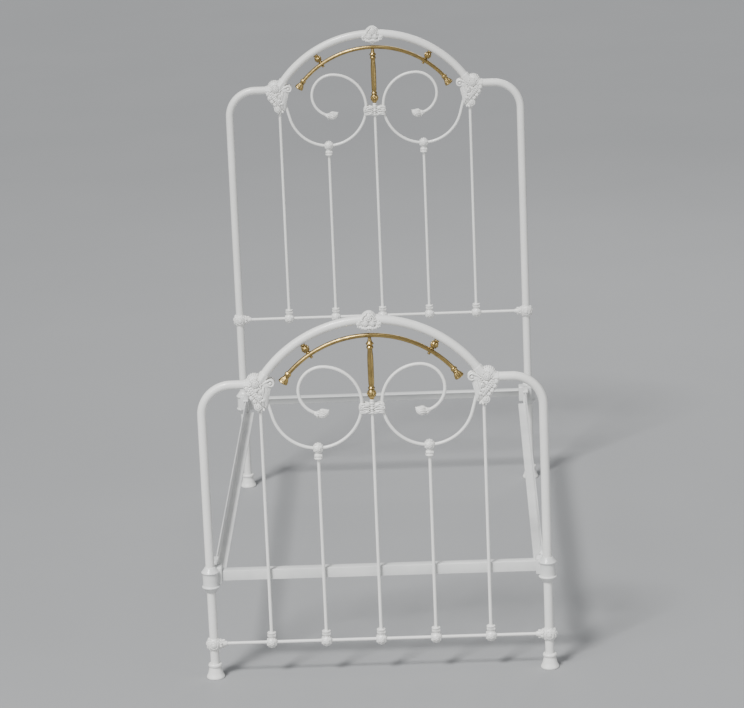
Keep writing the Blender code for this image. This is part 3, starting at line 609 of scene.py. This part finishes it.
# The bud: a fat curved leaf with four flutes, and a hooked calyx at its root
bud_tip = tip_centre + TIP_R * Vector(toward(TIP_ANGLE))
heading = 194.0
bud_a, bud_b = bud_tip.x / MM, bud_tip.y / MM
spine = []
widths = [5.6, 7.0, 10.2, 12.8, 13.9, 13.8, 12.6, 10.2, 7.0, 3.6, 1.2]
for width in widths:
    spine.append((bud_a, bud_b, width, heading))
    c, s = toward(heading)
    bud_a += 4.3 * c
    bud_b += 4.3 * s
    heading -= 6.5
stem([(a, 0, b) for a, b, width, facing in spine], [width * 0.94 for width in widths])
for flute in (-0.86, -0.52, -0.14, 0.26, 0.62, 0.92):
    ridge = []
    ridge_r = []
    for number, (a, b, width, facing) in enumerate(spine[1:-1]):
        c, s = toward(facing + 90)
        off = flute * width * 0.96
        ridge.append((a + off * c, math.sqrt(max(width**2 * 0.9 - off**2, 0.3)), b + off * s))
        ridge_r.append(0.9 + 1.5 * math.sin(math.pi * (number + 1) / 10))
    stem(ridge, ridge_r)
hook_a, hook_b = bud_tip.x / MM, bud_tip.y / MM
for swing in (248, 146):
    petal(hook_a + 2, 2, hook_b, 15, 8, 6, swing, 0)
    petal(hook_a + 3, 6, hook_b, 12, 7, 4, swing * 0.5 + 98, 14)
blob(hook_a - 4, 0, hook_b - 12, (3.4, 6.0, 3.2))
blob(hook_a + 2, 0, hook_b, (7.4, 7.4, 7.4))
bud_home = fuse("leaf bud", 0.8, 2)


def joined(name, parts):
    """Copies of the parts, each at its place, joined as one piece."""
    copies = [copy_of(part, place) for part, place in parts]
    pick(*copies)
    bpy.ops.object.join()
    copies[0].name = name
    return copies[0]


def without_painted_shade(part):
    """Gives a plain rod the castings' recess attribute at its open value, so that it gets no painted shade
    and joins them cleanly.
    """
    pick(part)
    bpy.ops.geometry.color_attribute_add(name="recess", domain="CORNER", color=(0.5, 0.5, 0.5, 1.0))
    return part


here = Matrix.Identity(4)
knuckle_place = Matrix.Translation((STEP, 0.0, low_centre.y - LOW_R))
scroll_home = joined("scroll", [(without_painted_shade(scroll_rod), here), (knuckle_home, knuckle_place), (bud_home, here)])
for home in (scroll_rod, knuckle_home, bud_home):
    discard(home)
for board in boards:
    put(scroll_home, board, board["shoulder"], "leafed_scroll", "scroll", cast_enamel)
discard(scroll_home)


# Centre clasps: iron cast over both scroll rods and the head of the middle upright, wrapped in leaf whorls. A
# ringed boss stands in the middle, with a stub that carries the brass spindle.

CLASP_Z = -73.1
CLASP_ROD = (mid_centre.x - MID_R) / MM

for half in (-1, 1):
    blob(half * CLASP_ROD, 0, 0, (10.8, 12.5, 17.5))
    blob(half * 16, 0, 0, (18, 11.0, 15.5))
    for rise, lift in ((11.5, 2.5), (5.0, 2.0), (-2.0, 1.5), (-9.0, 1.0), (-14.0, 0.0)):
        ridge = [(6, 10.8, rise - 3.0), (15, 11.6, rise + lift - 1.0), (24, 11.8, rise + lift)]
        ridge += [(33, 11.4, rise - 1.0), (39, 8.0, rise * 0.85 - 1.5)]
        stem([(half * a, h - abs(rise) * 0.12, b) for a, h, b in ridge], (1.4, 2.5, 2.9, 2.6, 1.5))
    coil(half * 33, 2, (7.6, 1.8), (2.3, 1.9), (11.8, 14.4), 90 + half * 60, half * 1.5, 36)
    petal(half * 9, 11.0, 7, 15, 7.5, 4.2, 90 - half * 68, 0)
    petal(half * 9, 11.0, -8, 15, 7.5, 4.2, -90 + half * 68, 0)
boss_line = [(6.0, -18.5), (7.8, -17.5), (8.2, -13), (7.0, -10.5), (8.6, -8.0), (7.2, -5.2), (9.4, 0.0)]
boss_line += [(7.2, 5.2), (8.6, 8.0), (7.0, 10.5), (8.4, 14)]
boss_line += [(7.8, 18), (6.6, 20.5), (7.2, 22.5), (6.4, 26.4)]
boss = finish_bar(lathe("boss", boss_line, 32, 3))
boss.data.transform(Matrix.Diagonal((1.0, 1.5, 1.0, 1.0)))
set_in(boss)
blob(0, 13.6, 0, (3.4, 2.6, 3.4))
clasp_home = fuse("clasp", 0.8, 2)
for board in boards:
    place_z = board["shoulder"] + CLASP_Z * MM
    put(clasp_home, board, place_z, "leaf_clasp", "centre_clasp", cast_enamel, sided=False)
discard(clasp_home)


# Uprights: straight steel rod, painted white. Each stands in a cup on the crossbar, with a small fillet of
# paint round it there, and runs up into the clasp, a scroll's knuckle or a shoulder casting.

CUP_DEPTH = 20 * MM
FILLET_STEP = 1.1 * MM
FILLET_TAPER = (0.90, 0.93, 0.963)

for board in boards:
    for number in range(1, 6):
        low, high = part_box(f"{board['name']}_spindle_{number}")
        x, y, _ = (low + high) / 2
        foot_z = low[2] + CUP_DEPTH
        rod = start_bar("rod", ROD_R, (x, y, low[2]), (0, 0, 1), 20)
        run(0.0, 0.0, foot_z - low[2])
        bpy.ops.transform.resize(value=(1.24, 1.24, 1.0), center_override=(x, y, foot_z))
        for taper in FILLET_TAPER:
            run(0.0, 0.0, FILLET_STEP)
            bpy.ops.transform.resize(value=(taper, taper, 1.0), center_override=(x, y, foot_z))
        run(0.0, 0.0, high[2] - foot_z - len(FILLET_TAPER) * FILLET_STEP)
        finish_bar(rod)
        rod.name = f"{board['name']}_upright_rod_{number}"
        settle(rod, f"{board['name']}_spindle_{number}", tube_enamel, "bed_ends")


# Crossbars: a straight rod with a flowered knuckle and cup cast round the foot of each upright, and a larger
# flowered casting round each post, which narrows to a ring of petals on the rod.

knuckle(17.4)
cup_line = [(9.5, 33.0), (13.2, 33.0), (13.7, 31.2), (12.9, 28.5), (10.9, 25.5), (10.0, 21.0), (10.9, 17.6)]
cup_line += [(10.2, 15.2), (11.4, 12.8), (10.5, 9.5), (9.0, 6.0)]
set_in(finish_bar(lathe("cup", cup_line, 32, 3)))
for ray in range(7):
    petal(-9 + ray * 3.0, 9.0 - abs(ray - 3) * 1.2, 16.5, 12.0, 4.8, 3.2, 90 - (ray - 3) * 6, 12)
foot_knuckle = fuse("upright knuckle", 0.9, 2)

# The end casting on the right, about its post
blob(0, 0, 0, (24.0, 22.5, 23.5))
cone_line = [(12.0, -4), (15.0, 0), (14.4, 8), (11.4, 15), (9.6, 19), (9.0, 23), (7.4, 28), (5.6, 31)]
set_in(finish_bar(lathe("cone", cone_line, 32, 3)), -12, 0, 90)
for ray in range(8):
    out, rise = toward(ray * 45 + 22.5)
    if out > -0.1:
        petal(-23, 7.6 * out, 7.6 * rise, 13.5, 9.0, 4.4, 180 - 24 * rise, -20 * out)
        petal(-16, 12.0 * out, 12.0 * rise, 11.0, 9.5, 4.2, 180 + 14 * rise, 14 * out)
for row, (tilt, count) in enumerate(((12, 10), (36, 9), (60, 7))):
    level, climb = toward(tilt)
    reach = 23.2 * level
    height = 22.0 * climb
    for ray in range(count):
        swing = 360 / count * (ray + 0.5 * (row % 2))
        c, s = toward(swing)
        petal(reach * c, height - 0.6, reach * s, 9.5, 8.0, 3.0, swing + 105, 0)
        petal(reach * c, height - 0.6, reach * s, 7.5, 6.0, 2.8, swing + 215, 0)
        blob(reach * c * 1.02, height, reach * s * 1.02, (2.2, 2.2, 2.2))
coil(0, 0, (8.0, 1.6), (2.2, 1.7), (21.0, 23.0), 40, 1.7, 40)
blob(0, 23.0, 0, (2.6, 2.0, 2.6))
end_casting = fuse("crossbar end", 0.95, 2)

UPRIGHT_ABOVE_ROD = 12.5 * MM
reach = leg_x - TUBE_R
cross_rod = start_bar("cross rod", ROD_R, (-reach, 0.0, 0.0), (1, 0, 0), 20)
run(2 * reach, 0.0, 0.0)
without_painted_shade(finish_bar(cross_rod))
mirror_x = Matrix.Diagonal((-1.0, 1.0, 1.0, 1.0))
castings = [(foot_knuckle, Matrix.Translation(((n - 2) * STEP, 0.0, 0.0))) for n in range(5)]
castings.append((end_casting, Matrix.Translation((leg_x, 0.0, 0.0))))
castings.append((end_casting, Matrix.Translation((-leg_x, 0.0, 0.0)) @ mirror_x))
crossbar_home = joined("crossbar", [(cross_rod, here), *castings])
for home in (cross_rod, foot_knuckle, end_casting):
    discard(home)
for board in boards:
    upright_low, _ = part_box(f"{board['name']}_spindle_1")
    place_z = upright_low[2] - UPRIGHT_ABOVE_ROD
    put(crossbar_home, board, place_z, "flowered_crossbar", "crossbar", cast_enamel, sided=False)
discard(crossbar_home)


# Brass trim: a thin tube bent to follow the arch, a fluted bell on each of its ends, a flowered ball screwed
# between it and the arch on each side, and a turned spindle from its middle down to the clasp.

BRASS_R = 338 * MM
BRASS_CENTRE = -181.5 * MM
BRASS_TUBE_R = 6.8 * MM
BRASS_HALF_ANGLE = 48.0
CAP_LEAN = 34.0
KNOB_LEAN = 33.2


def brass(name, recessed):
    """Lacquered brass gone olive with age, darker in the hollows, with small stains."""
    metal, shader, start = new_finish(name)
    place = start.node("ShaderNodeTexCoord", {}, {}, "Object")
    stain = start.noise(place, 46.0, 5.0).band(0.42, 0.70)
    grain = start.noise(place, 520.0, 3.0)
    colour = stain.tint((0.47, 0.335, 0.125, 1.0), (0.285, 0.205, 0.080, 1.0))
    rough = 0.24 + 0.16 * stain + 0.08 * grain
    if recessed:
        shade_and_patina_map = start.node("ShaderNodeVertexColor", {"layer_name": "recess"}, {}, "Color")
        hollow = 1.0 - start.node("ShaderNodeSeparateColor", {}, {"Color": shade_and_patina_map}, 0).band(0.35, 0.50)
        colour = hollow.tint(colour, (0.062, 0.045, 0.020, 1.0))
        rough = rough + 0.25 * hollow
    bump = start.node("ShaderNodeBump", {}, {"Strength": 0.2, "Distance": 0.0004, "Height": grain}, "Normal")
    into(shader, "Base Color", colour)
    into(shader, "Roughness", rough)
    into(shader, "Normal", bump)
    shader.inputs["Metallic"].default_value = 1.0
    return metal


tube_brass = brass("aged_brass_tube", False)
cast_brass = brass("aged_brass_relief", True)

lean = math.radians(BRASS_HALF_ANGLE)
spring = (BRASS_R * math.sin(lean), 0.0, BRASS_CENTRE + BRASS_R * math.cos(lean))
rail_home = start_bar("brass rail", BRASS_TUBE_R, spring, (-math.cos(lean), 0.0, math.sin(lean)), 24)
bend(0.0, BRASS_CENTRE, 2 * BRASS_HALF_ANGLE, 48)
finish_bar(rail_home)
for board in boards:
    place_z = board["shoulder"]
    put(rail_home, board, place_z, "curved_brass_rail", "brass_rail", tube_brass, False)
discard(rail_home)


def lobed(part, lobes, depth, low, high):
    """Presses flutes round a turned piece, deepest halfway between the two heights."""
    for corner in part.data.vertices:
        x, y, z = corner.co
        if low * MM < z < high * MM:
            swell = math.sin(math.pi * (z / MM - low) / (high - low))
            press = 1.0 - depth * swell * (0.5 - 0.5 * math.cos(lobes * math.atan2(y, x))) ** 0.7
            corner.co = (x * press, y * press, z)


cap_line = [(6.9, 6.6), (9.0, 4.4), (10.6, 0.5), (10.3, -2.6), (8.4, -5.6), (8.4, -7.0), (9.6, -8.4)]
cap_line += [(8.8, -9.8), (9.4, -12.5), (12.0, -17.0), (14.2, -22.0)]
cap_line += [(15.2, -26.4), (15.6, -29.0), (15.0, -31.2)]
cap_line += [(12.4, -32.4), (10.6, -31.6), (9.6, -29.0), (4.0, -28.4), (0.6, -28.4)]
cap = finish_bar(lathe("cap", cap_line, 72, 4), 50.0)
lobed(cap, 9, 0.17, -31.8, -9.5)
lobed(cap, 9, 0.10, -4.6, 5.8)
set_in(cap)
cap_home = fuse("cap", 0.45, 1, 0.5)


def studs(rows, start, size, turn):
    """Rings of raised studs on the front half of a ball, each ring of a radius, height and count."""
    for row, (out, level, count) in enumerate(rows):
        for ray in range(count):
            swing = math.tau / count * (ray + 0.5 * (row % 2)) + start
            if math.sin(swing) > -0.2:
                blob(out * math.cos(swing), out * math.sin(swing), level, size, turn)


KNOB_BALL_Z = 22.4
knob_line = [(4.6, -13.0), (4.6, -7.0), (4.6, -7.0), (2.4, -7.0), (2.4, 6.9), (2.4, 6.9), (7.2, 7.2)]
knob_line += [(7.8, 8.8), (5.6, 11.2), (6.2, 12.4), (8.0, 14.0)]
knob_line += [(10.8, 18.0), (11.9, 22.4), (10.9, 27.0), (8.0, 30.6)]
knob_line += [(5.8, 32.2), (7.6, 34.4), (8.2, 36.4), (7.6, 38.6), (3.0, 38.9)]
set_in(finish_bar(lathe("knob", knob_line, 48, 3)))
rings = []
for rise, count in ((-38, 7), (0, 9), (38, 7)):
    c, s = toward(rise)
    rings.append((10.9 * c, KNOB_BALL_Z + 10.9 * s, count))
studs(rings, 0.17, (2.6, 2.0, 3.4), 30)
knob_home = fuse("knob", 0.45, 1, 0.5)

spindle_top = (BRASS_CENTRE + BRASS_R - BRASS_TUBE_R) / MM - 0.5
spindle_low = CLASP_Z + 18 + 8.6
drop = spindle_top - spindle_low
spindle_line = [(4.8, 0.0), (5.4, -1.5), (5.2, -4.0), (6.4, -8.0), (7.2, -12.0), (9.8, -15.5), (12.0, -18.0)]
spindle_line += [(12.2, -20.2), (10.2, -22.6), (8.4, -24.4), (8.6, -26.2), (10.8, -29.2), (11.2, -31.4)]
spindle_line += [(10.2, -34.0), (8.2, -36.4), (8.0, -39.5), (8.5, -48.0)]
spindle_line += [(9.4, -62.0), (9.7, -78.0), (9.6, -105.0)]
lower_line = [(9.3, 52), (8.2, 44), (7.8, 41), (9.4, 38.6), (11.0, 36.4), (10.6, 34.2), (8.8, 31.6)]
lower_line += [(9.6, 29.6), (12.0, 24.0), (12.9, 18.0), (12.4, 11.8)]
lower_line += [(9.8, 6.4), (7.2, 3.4), (7.6, 1.8), (6.8, 0.0)]
spindle_line += [(radius, height - drop) for radius, height in lower_line]
brass_spindle = finish_bar(lathe("spindle", spindle_line, 64, 4), 50.0)
lobed(brass_spindle, 12, 0.09, -22.8, -15.0)
set_in(brass_spindle)
rings = []
for rise, count in ((-30, 9), (0, 10), (30, 9)):
    c, s = toward(rise)
    rings.append((12.2 * c + 0.3, 17.5 - drop + 12.0 * s, count))
studs(rings, 0.15, (2.8, 2.4, 3.0), 20)
spindle_home = fuse("brass spindle", 0.5, 1, 0.5)

c, s = toward(CAP_LEAN)
cap_place = Matrix.Translation((spring[0] + 4.5 * MM * s, 0.0, spring[2] - 4.5 * MM * c))
cap_home.data.transform(cap_place @ Matrix.Rotation(-math.radians(CAP_LEAN), 4, "Y"))
c, s = toward(KNOB_LEAN)
knob_place = Matrix.Translation((BRASS_R * s, 0.0, BRASS_CENTRE + BRASS_R * c))
knob_home.data.transform(knob_place @ Matrix.Rotation(math.radians(KNOB_LEAN), 4, "Y"))
spindle_home.data.transform(Matrix.Translation((0.0, 0.0, spindle_top * MM)))
for home, piece_name, part, sided in (
    (cap_home, "brass_bell", "brass_rail_cap", True),
    (knob_home, "brass_ball", "brass_knob", True),
    (spindle_home, "turned_spindle", "brass_spindle", False),
):
    for board in boards:
        put(home, board, board["shoulder"], piece_name, part, cast_brass, sided)
    discard(home)


# Corner castings: an iron collar on each post, cast in one with a block towards the rail. The block's tapered
# slot, open at the top, takes the lug of the side rail.

CORNER_Z = 326 * MM
RAIL_X = 513 * MM
SEAT_Z = 332.5 * MM
SOCKET_FACE = 46

plain_enamel = enamel("white_rail_enamel", False, (0.775, 0.78, 0.76), (0.66, 0.67, 0.66))


def cut(part, tool):
    """Cuts the tool out of the part, and throws the tool away."""
    pick(part)
    shape_with(part, "BOOLEAN", object=tool, operation="DIFFERENCE", solver="EXACT")
    discard(tool)
    return part


def outline_plate(name, corners, thickness):
    """A flat outline in the XY plane, in millimetres, filled and thickened along Z to both sides."""
    curve = bpy.data.curves.new(name, "CURVE")
    curve.dimensions = "2D"
    curve.fill_mode = "BOTH"
    curve.extrude = thickness * MM / 2
    line = curve.splines.new("POLY")
    line.points.add(len(corners) - 1)
    line.use_cyclic_u = True
    for point, (x, y) in zip(line.points, corners):
        point.co = (x * MM, y * MM, 0.0, 1.0)
    plate = bpy.data.objects.new(name, curve)
    bpy.context.collection.objects.link(plate)
    pick(plate)
    return closed_mesh()


def round_edges(part, width, segments, limit=35.0):
    pick(part)
    angle = math.radians(limit)
    shape_with(part, "BEVEL", width=width * MM, segments=segments, limit_method="ANGLE", angle_limit=angle)
    bpy.ops.object.shade_smooth_by_angle(angle=math.radians(50))


def block(name, low, high):
    """A plain box from one corner to the other, in millimetres."""
    bpy.ops.object.select_all(action="DESELECT")
    centre = [(a + b) / 2 * MM for a, b in zip(low, high)]
    bpy.ops.mesh.primitive_cube_add(size=MM, location=centre)
    box = bpy.context.active_object
    box.name = name
    box.scale = [b - a for a, b in zip(low, high)]
    bpy.ops.object.transform_apply(location=True, rotation=True, scale=True)
    return box


collar_half = [(24.5, 18.4), (24.5, 18.4), (25.2, 20.4), (27.6, 22.0), (28.2, 23.6), (27.8, 25.4)]
collar_half += [(25.0, 28.6), (19.6, 36.0), (17.4, 39.4), (16.4, 40.5), (14.2, 40.5)]
collar_line = [(radius, -height) for radius, height in reversed(collar_half)] + collar_half
collar = finish_bar(lathe("collar", collar_line, 56, 3), 30.0)
collar.data.transform(Matrix.Translation((leg_x, 0.0, 0.0)))
rail_x = RAIL_X / MM
socket = block("socket", (rail_x - 24, 2, -20), (rail_x + 24, SOCKET_FACE, 36))
round_edges(socket, 4.5, 4)
slot_half = [(7.1, 52), (7.1, 42.0), (13.6, 34.4), (13.6, 31.4)]
slot_line = [(-x, y) for x, y in slot_half] + slot_half[::-1]
channel = outline_plate("channel", [(rail_x + x, y) for x, y in slot_line], 60)
channel.data.transform(Matrix.Translation((0.0, 0.0, (SEAT_Z - CORNER_Z) + 30 * MM)))
seat_line = [(7.1, -6.0), (7.1, -6.0), (7.1, 4.0), (7.1, 4.0), (13.6, 11.6), (13.6, 11.6), (13.6, 14.6)]
seat = finish_bar(lathe("seat", seat_line, 40, 1))
seat_place = Matrix.Translation((RAIL_X, SOCKET_FACE * MM, SEAT_Z - CORNER_Z))
seat.data.transform(seat_place @ Matrix.Rotation(math.pi / 2, 4, "X"))
cut(cut(socket, channel), seat)
round_edges(socket, 0.8, 2, 50.0)
corner_home = joined("corner", [(collar, here), (socket, here)])
discard(collar)
discard(socket)
for board in boards:
    put(corner_home, board, CORNER_Z, "socket_collar", "corner_casting", plain_enamel)
discard(corner_home)


# Cross angles: rolled steel angle between the corner castings of a board, flat side up, to carry the bed
# base. Its ends are cast into the collars, and it is painted with the rest.

def fillet(cx, cy, radius, start, end, steps=5):
    """Corner points on a quarter round, in millimetres and degrees."""
    turns = [math.radians(start + (end - start) * i / steps) for i in range(steps + 1)]
    return [(cx + radius * math.cos(t), cy + radius * math.sin(t)) for t in turns]


def angle_section(flange, leg, thick):
    """An angle's section: the flange along X, the leg up along Y, its outer corner at the origin."""
    corners = [*fillet(1.2, 1.2, 1.2, 180, 270), *fillet(flange - 0.6, 0.6, 0.6, 270, 360, 3)]
    corners += [*fillet(flange - 1.6, thick - 1.6, 1.6, 0, 90), *fillet(thick + 3, thick + 3, 3, 270, 180)]
    return corners + [*fillet(thick - 1.6, leg - 1.6, 1.6, 0, 90), *fillet(0.6, leg - 0.6, 0.6, 90, 180, 3)]


cross_low, cross_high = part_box("foot_cross_angle")
cross_length = (cross_high[0] - cross_low[0]) / MM
cross_home = outline_plate("cross angle", angle_section(32, 32, 3.5), cross_length)
# The section's X runs into the bed, its Y runs down, and the thickness runs across the bed
turn = Matrix(((0, 0, 1, 0), (1, 0, 0, 0), (0, -1, 0, 0), (0, 0, 0, 1)))
cross_home.data.transform(Matrix.Translation((0.0, 10 * MM, 0.0)) @ turn)
cross_home.data.flip_normals()
bpy.ops.object.shade_smooth_by_angle(angle=math.radians(35))
for board in boards:
    put(cross_home, board, cross_high[2], "steel_cross_angle", "cross_angle", plain_enamel, sided=False)
discard(cross_home)


# Leg cups: turned iron feet that take the lower ends of the posts, flared to a broad ring on the floor.

cup_line = [(26.8, 0.0), (26.8, 0.0), (28.3, 1.2), (28.6, 3.0), (28.4, 5.4), (26.6, 9.4), (23.8, 15.8)]
cup_line += [(21.6, 23.5), (19.8, 30.5), (18.9, 35.2), (19.2, 37.0), (21.0, 38.6), (21.7, 41.0), (21.7, 43.6)]
cup_line += [(20.6, 46.4), (18.6, 48.0), (18.6, 48.0), (14.9, 48.0), (14.9, 48.0), (14.2, 46.8), (14.2, 44.0)]
cup_home = finish_bar(lathe("leg cup", cup_line, 56, 3), 30.0)
cup_home.data.transform(Matrix.Translation((leg_x, 0.0, 0.0)))
for board in boards:
    put(cup_home, board, 0.0, "flared_foot", "leg_cup", tube_enamel)
discard(cup_home)


# Side rails: rolled steel angle, with its flange inwards at the bottom to carry the bed base. The flange is
# notched at each end, where the upright leg runs on into the casting.

HOOD_REACH = 18
rail_low, rail_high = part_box("side_rail_right")
rail_end_low, rail_end_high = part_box("head_rail_end_right")
half_length = rail_high[1] / MM
notch_y = (rail_end_low[1] + HOOD_REACH * MM) / MM - 0.3
right_rail = outline_plate("rail", angle_section(30, 48, 4), 2 * half_length)
# The section's X runs in from the outer face, its Y runs up, and the thickness runs along the rail
turn = Matrix(((-1, 0, 0, rail_high[0]), (0, 0, 1, 0), (0, 1, 0, rail_low[2]), (0, 0, 0, 1)))
right_rail.data.transform(turn)
base_z = rail_low[2] / MM
inner_x = rail_high[0] / MM - 4
for way in (1, -1):
    ys = sorted((way * notch_y, way * (half_length + 5)))
    cut(right_rail, block("notch", (inner_x - 40, ys[0], base_z - 5), (inner_x, ys[1], base_z + 60)))
bpy.ops.object.shade_smooth_by_angle(angle=math.radians(35))


def settle_pair(home, piece_name, node):
    """Copies a right-hand piece to its place and its mirror image to the left, each on its own rail."""
    for word, place in (("right", here), ("left", mirror_x)):
        piece = copy_of(home, place)
        piece.name = f"{piece_name}_{word}"
        settle(piece, f"{node}_{word}", plain_enamel, f"{word}_rail")
    discard(home)


settle_pair(right_rail, "steel_side_angle", "side_rail")


# Rail ends: iron castings on the ends of each side rail, with a hood over the rail's top edge, a chamfered
# outer corner, stiffening ribs on the inside and a tapered lug that drops into the corner casting.

LEG_Y = 985
FACE_FROM_LEG = 46.6
end_y = rail_end_low[1] / MM + HOOD_REACH
face_y = LEG_Y - FACE_FROM_LEG
end_low, end_high = rail_end_low[2] / MM, rail_end_high[2] / MM
plate_line = [(end_y, end_low + 3), (end_y + 3, end_low), (face_y - 2, end_low), (face_y, end_low + 2)]
plate_line += [(face_y, end_high - 9), (face_y - 9, end_high), (end_y - 15, end_high)]
plate_line += [(end_y - HOOD_REACH, end_high - 3), (end_y - HOOD_REACH, base_z + 48.4)]
plate_line += [(end_y - 6, base_z + 48.4), (end_y, base_z + 42)]
casting = outline_plate("rail end", plate_line, 17.6)
# The outline's X runs along the bed and its Y runs up
turn = Matrix(((0, 0, 1, rail_x * MM), (1, 0, 0, 0), (0, 1, 0, 0), (0, 0, 0, 1)))
casting.data.transform(turn)
round_edges(casting, 1.8, 3, 25.0)
hollow = block("hollow", (rail_x - 20, end_y + 5, end_low + 8), (rail_x - 5.5, face_y - 7, end_high - 8))
round_edges(hollow, 2.5, 3)
cut(casting, hollow)
middle_z = 0.5 * (end_low + end_high)
rib = block("rib", (rail_x - 8.4, end_y + 4, middle_z - 2), (rail_x, face_y - 4, middle_z + 2))
round_edges(rib, 1.2, 2)
upright_rib = block("rib", (rail_x - 8.2, face_y - 24, end_low + 6), (rail_x, face_y - 20.5, end_high - 6))
round_edges(upright_rib, 1.2, 2)
lug_line = [(9.6, -1.0), (9.6, 0.4), (7.2, 1.6), (6.5, 3.2), (6.6, 4.4), (12.6, 10.6), (13.0, 11.6)]
lug_line += [(13.0, 13.2), (12.2, 14.0), (0.6, 14.0)]
lug = finish_bar(lathe("lug", lug_line, 48, 2), 30.0)
lug.data.transform(Matrix.Translation((RAIL_X, face_y * MM, SEAT_Z)) @ Matrix.Rotation(-math.pi / 2, 4, "X"))
head_end = joined("head rail end", [(part, here) for part in (casting, rib, upright_rib, lug)])
for home in (casting, rib, upright_rib, lug):
    discard(home)
foot_end = copy_of(head_end, Matrix.Diagonal((1.0, -1.0, 1.0, 1.0)))
settle_pair(head_end, "hooded_end_head", "head_rail_end")
settle_pair(foot_end, "hooded_end_foot", "foot_rail_end")


# Floor, light and camera: a plain pale floor in soft studio light. The camera looks from the foot of the bed,
# a little down and a little turned, from far enough off that both boards fill the frame.

bpy.ops.object.select_all(action="DESELECT")
bpy.ops.mesh.primitive_plane_add(size=60.0, location=(0.0, 0.0, 0.0))
floor = bpy.context.active_object
floor.name = "studio_floor"
ground, shader, start = new_finish("studio_floor_paint")
place = start.node("ShaderNodeTexCoord", {}, {}, "Object")
cloud = start.noise(place, 1.1, 3.0)
into(shader, "Base Color", cloud.tint((0.30, 0.305, 0.31, 1.0), (0.325, 0.33, 0.335, 1.0)))
shader.inputs["Roughness"].default_value = 0.75
floor.data.materials.append(ground)

world = bpy.data.worlds.new("studio")
world.use_nodes = True
world.node_tree.nodes["Background"].inputs["Color"].default_value = (0.86, 0.88, 0.92, 1.0)
world.node_tree.nodes["Background"].inputs["Strength"].default_value = 0.27
bpy.context.scene.world = world

bed_middle = Vector((0.0, 0.0, 0.86))
sun_heading = Vector((0.9, 1.5, -2.3))
bpy.ops.object.select_all(action="DESELECT")
bpy.ops.object.light_add(type="SUN", location=(-3.0, -4.0, 6.0))
sun = bpy.context.active_object
sun.name = "overhead_light"
sun.data.energy = 3.9
sun.data.angle = math.radians(12)
sun.rotation_euler = sun_heading.to_track_quat("-Z", "Y").to_euler()
for name, place, size, power in (
    ("key", (-2.8, -4.4, 3.4), 2.4, 150.0),
    ("fill", (3.8, -3.6, 1.6), 2.4, 50.0),
    ("back", (1.2, 4.6, 3.8), 2.4, 60.0),
):
    bpy.ops.object.select_all(action="DESELECT")
    bpy.ops.object.light_add(type="AREA", location=place)
    lamp = bpy.context.active_object
    lamp.name = name + "_light"
    lamp.data.size = size
    lamp.data.energy = power
    lamp.rotation_euler = (bed_middle - Vector(place)).to_track_quat("-Z", "Y").to_euler()

PITCH = math.radians(15.4)
YAW = math.radians(-1.5)
ROLL = math.radians(2.3)
DISTANCE = 11.0
aim = Vector((-0.02, 0.0, 0.765))
forward = Vector((math.sin(YAW) * math.cos(PITCH), math.cos(YAW) * math.cos(PITCH), -math.sin(PITCH)))
bpy.ops.object.camera_add(location=aim - forward * DISTANCE)
camera = bpy.context.active_object
camera.name = "camera"
camera.data.sensor_width = 36.0
camera.data.lens = 158.0
camera.data.clip_start = 0.05
roll_turn = Matrix.Rotation(-ROLL, 3, "Z").to_quaternion()
camera.rotation_euler = (forward.to_track_quat("-Z", "Y") @ roll_turn).to_euler()
bpy.context.scene.camera = camera
